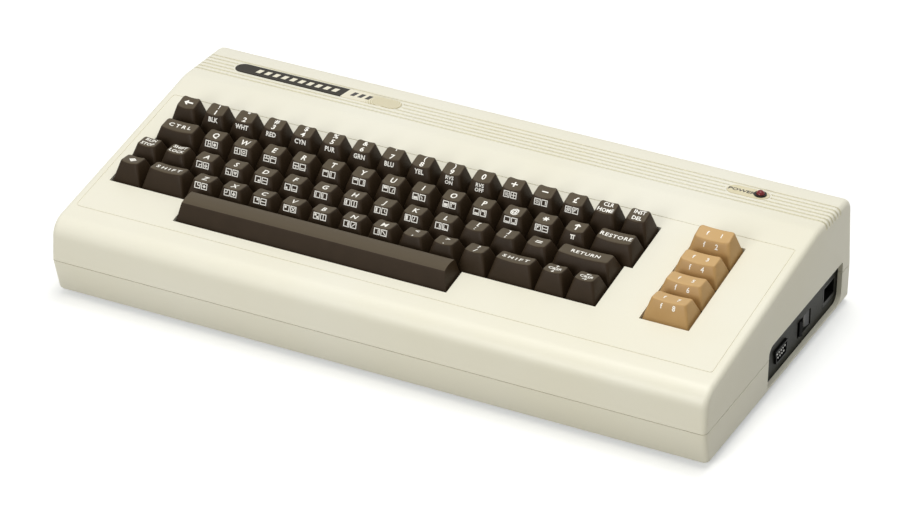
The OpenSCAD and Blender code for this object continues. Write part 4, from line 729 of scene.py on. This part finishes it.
def metal(name, colour, tint, roughness, patch):
    """A plated or milled metal; patch is the size of its faint clouds in millimetres."""
    finish, tree = new_finish(name)
    place = add(tree, "ShaderNodeTexCoord").outputs["Object"]
    cloud = add(tree, "ShaderNodeTexNoise", {"Vector": place, "Scale": 1000 / patch, "Detail": 4.0})
    shade = add(tree, "ShaderNodeMix", {0: cloud.outputs[0], 6: srgb(colour), 7: srgb(tint)},
                data_type="RGBA")
    dull = add(tree, "ShaderNodeMapRange", {"Value": cloud.outputs[0], 3: roughness - 0.08,
                                            4: roughness + 0.08})
    bare = add(tree, "ShaderNodeBsdfPrincipled", {
        "Base Color": shade.outputs[2], "Roughness": dull.outputs[0], "Metallic": 1.0})
    add(tree, "ShaderNodeOutputMaterial", {"Surface": bare.outputs[0]})
    return finish


# Nickel-plated steel: bright and slightly warm, with soft reflections
plated_steel = metal("nickel_plated_steel", "#dddbd6", "#cbc9c4", 0.3, 3)
BOARD_UP = 10.6  # height of the main board's upper face
PANEL_FACE = 199.1  # outer face of the side panel
PORT_Y, PORT_Z = 7, BOARD_UP + 6.2  # middle of the control port
PORT_STEP = 2.74  # distance from pin to pin
PORT_ROW = 1.4  # height of each row of pins over or below the middle
bm = bmesh.new()
for count, dz in ((5, PORT_ROW), (4, -PORT_ROW)):
    for i in range(count):
        y = PORT_Y + (i - (count - 1) / 2) * PORT_STEP
        bmesh.ops.create_cone(bm, cap_ends=True, segments=12, radius1=0.6, radius2=0.6, depth=3.4,
                              matrix=Matrix.Translation((PANEL_FACE - 0.7, y, PORT_Z + dz))
                              @ Matrix.Rotation(math.pi / 2, 4, "Y"))
keep("port_pins", bm, plated_steel, "case")

# ---- Rear: edge connectors and sockets ----
# The board's rear tabs carry gilt fingers on both faces; the cartridge socket has two rows of
# sprung contacts; the two round sockets have pins in a black insert.

# Green solder mask: a clear, glassy green over the board's fine weave
dress("main_board", moulded("green_solder_mask", "#2c6038", "#28562f", 0.3, 1.2, 0.01, 10))
dress("expansion_socket", black_resin, 0.2)
dress("din_sockets", black_resin)
# Gold-plated brass: yellow and bright against the green and the black
gilt_brass = metal("gold_plated_brass", "#d9b36a", "#c79f52", 0.3, 2)
FINGER_STEP = 3.96  # distance from contact to contact, on the tabs and in the cartridge socket
FINGER = (2.5, 7, 0.1, 1)  # width, length and thickness of a gilt finger
TAPE_X, USER_X, TAB_Y = -36, -112, 93  # middles of the two tabs
BOARD_T = 1.6  # thickness of the main board
CONTACT = (1.8, 9, 0.5, 1)  # width, length and thickness of a sprung contact
CARTRIDGE_X, CARTRIDGE_Y, CARTRIDGE_Z = 112, 86.5, BOARD_UP + 6  # middle of the cartridge socket
DIN_Y, DIN_Z = 91.6, BOARD_UP + 9.5  # middle of the round sockets' pins
DIN_PINS = 3.9  # radius of the circle on which they stand
bm = bmesh.new()
for middle, count in ((TAPE_X, 6), (USER_X, 12)):
    for i in range(count):
        x = middle + (i - (count - 1) / 2) * FINGER_STEP
        for z in (BOARD_UP, BOARD_UP - BOARD_T):
            bmesh.ops.create_cube(bm, size=1, matrix=Matrix.Translation((x, TAB_Y, z))
                                  @ Matrix.Diagonal(FINGER))
for i in range(22):
    x = CARTRIDGE_X + (i - 10.5) * FINGER_STEP
    for dz in (-2.35, 2.35):
        bmesh.ops.create_cube(bm, size=1, matrix=Matrix.Translation(
            (x, CARTRIDGE_Y, CARTRIDGE_Z + dz)) @ Matrix.Diagonal(CONTACT))
# The round sockets: middle of each, and its pins' turns from the lowest point
for x, turns in ((38, (-90, -45, 0, 45, 90)), (12, (-120, -60, 0, 60, 120))):
    for turn in turns:
        a = math.radians(turn - 90)
        pin = Matrix.Translation((x + DIN_PINS * math.cos(a), DIN_Y, DIN_Z + DIN_PINS * math.sin(a)))
        bmesh.ops.create_cone(bm, cap_ends=True, segments=12, radius1=0.65, radius2=0.65, depth=5,
                              matrix=pin @ Matrix.Rotation(math.pi / 2, 4, "X"))
keep("gilt_contacts", bm, gilt_brass, "case")

# ---- Inside the case ----
# Switch board, springs, wire, chips, small parts, leads and screws, which are seen only through
# the openings and the vents.

# Brown paper laminate: dull ochre with darker patches
dress("keyboard_board", moulded("brown_paper_laminate", "#5a4a2a", "#65542f", 0.5, 1.0, 0.01))
# Black epoxy of the chips: matt and slightly grey
dress("chips", moulded("black_chip_epoxy", "#1d1d1f", "#252527", 0.55, 0.5, 0.01))
# Blue PVC sleeves of the capacitors: smooth and saturated
dress("board_parts", moulded("blue_pvc_sleeve", "#35588a", "#2c4a78", 0.35, 2, 0.01, 6))
# Milled aluminium: cool grey with a soft sheen
dress("heat_sink", metal("milled_aluminium", "#a8abae", "#989b9e", 0.38, 2))
# Tinned sheet: paler and duller, in broad faint clouds
dress("shield_can", metal("tinned_sheet", "#c3c6c8", "#b2b5b8", 0.42, 4))
# Grey PVC sleeves of the leads: flat and slightly warm
dress("inner_leads", moulded("grey_pvc_sleeve", "#8d8d8a", "#7f7f7c", 0.45, 1.0, 0.01))
for name in ("key_springs", "space_bar_wire", "case_screws", "inner_screws"):
    dress(name, plated_steel)

# ---- Feet ----
# Four round feet of black rubber pressed into the base, matt and slightly dusty, so that they
# look charcoal and never shine.
dress("rubber_feet", moulded("black_rubber", "#262626", "#30302f", 0.78, 0.5, 0.02, 5), 0.4)
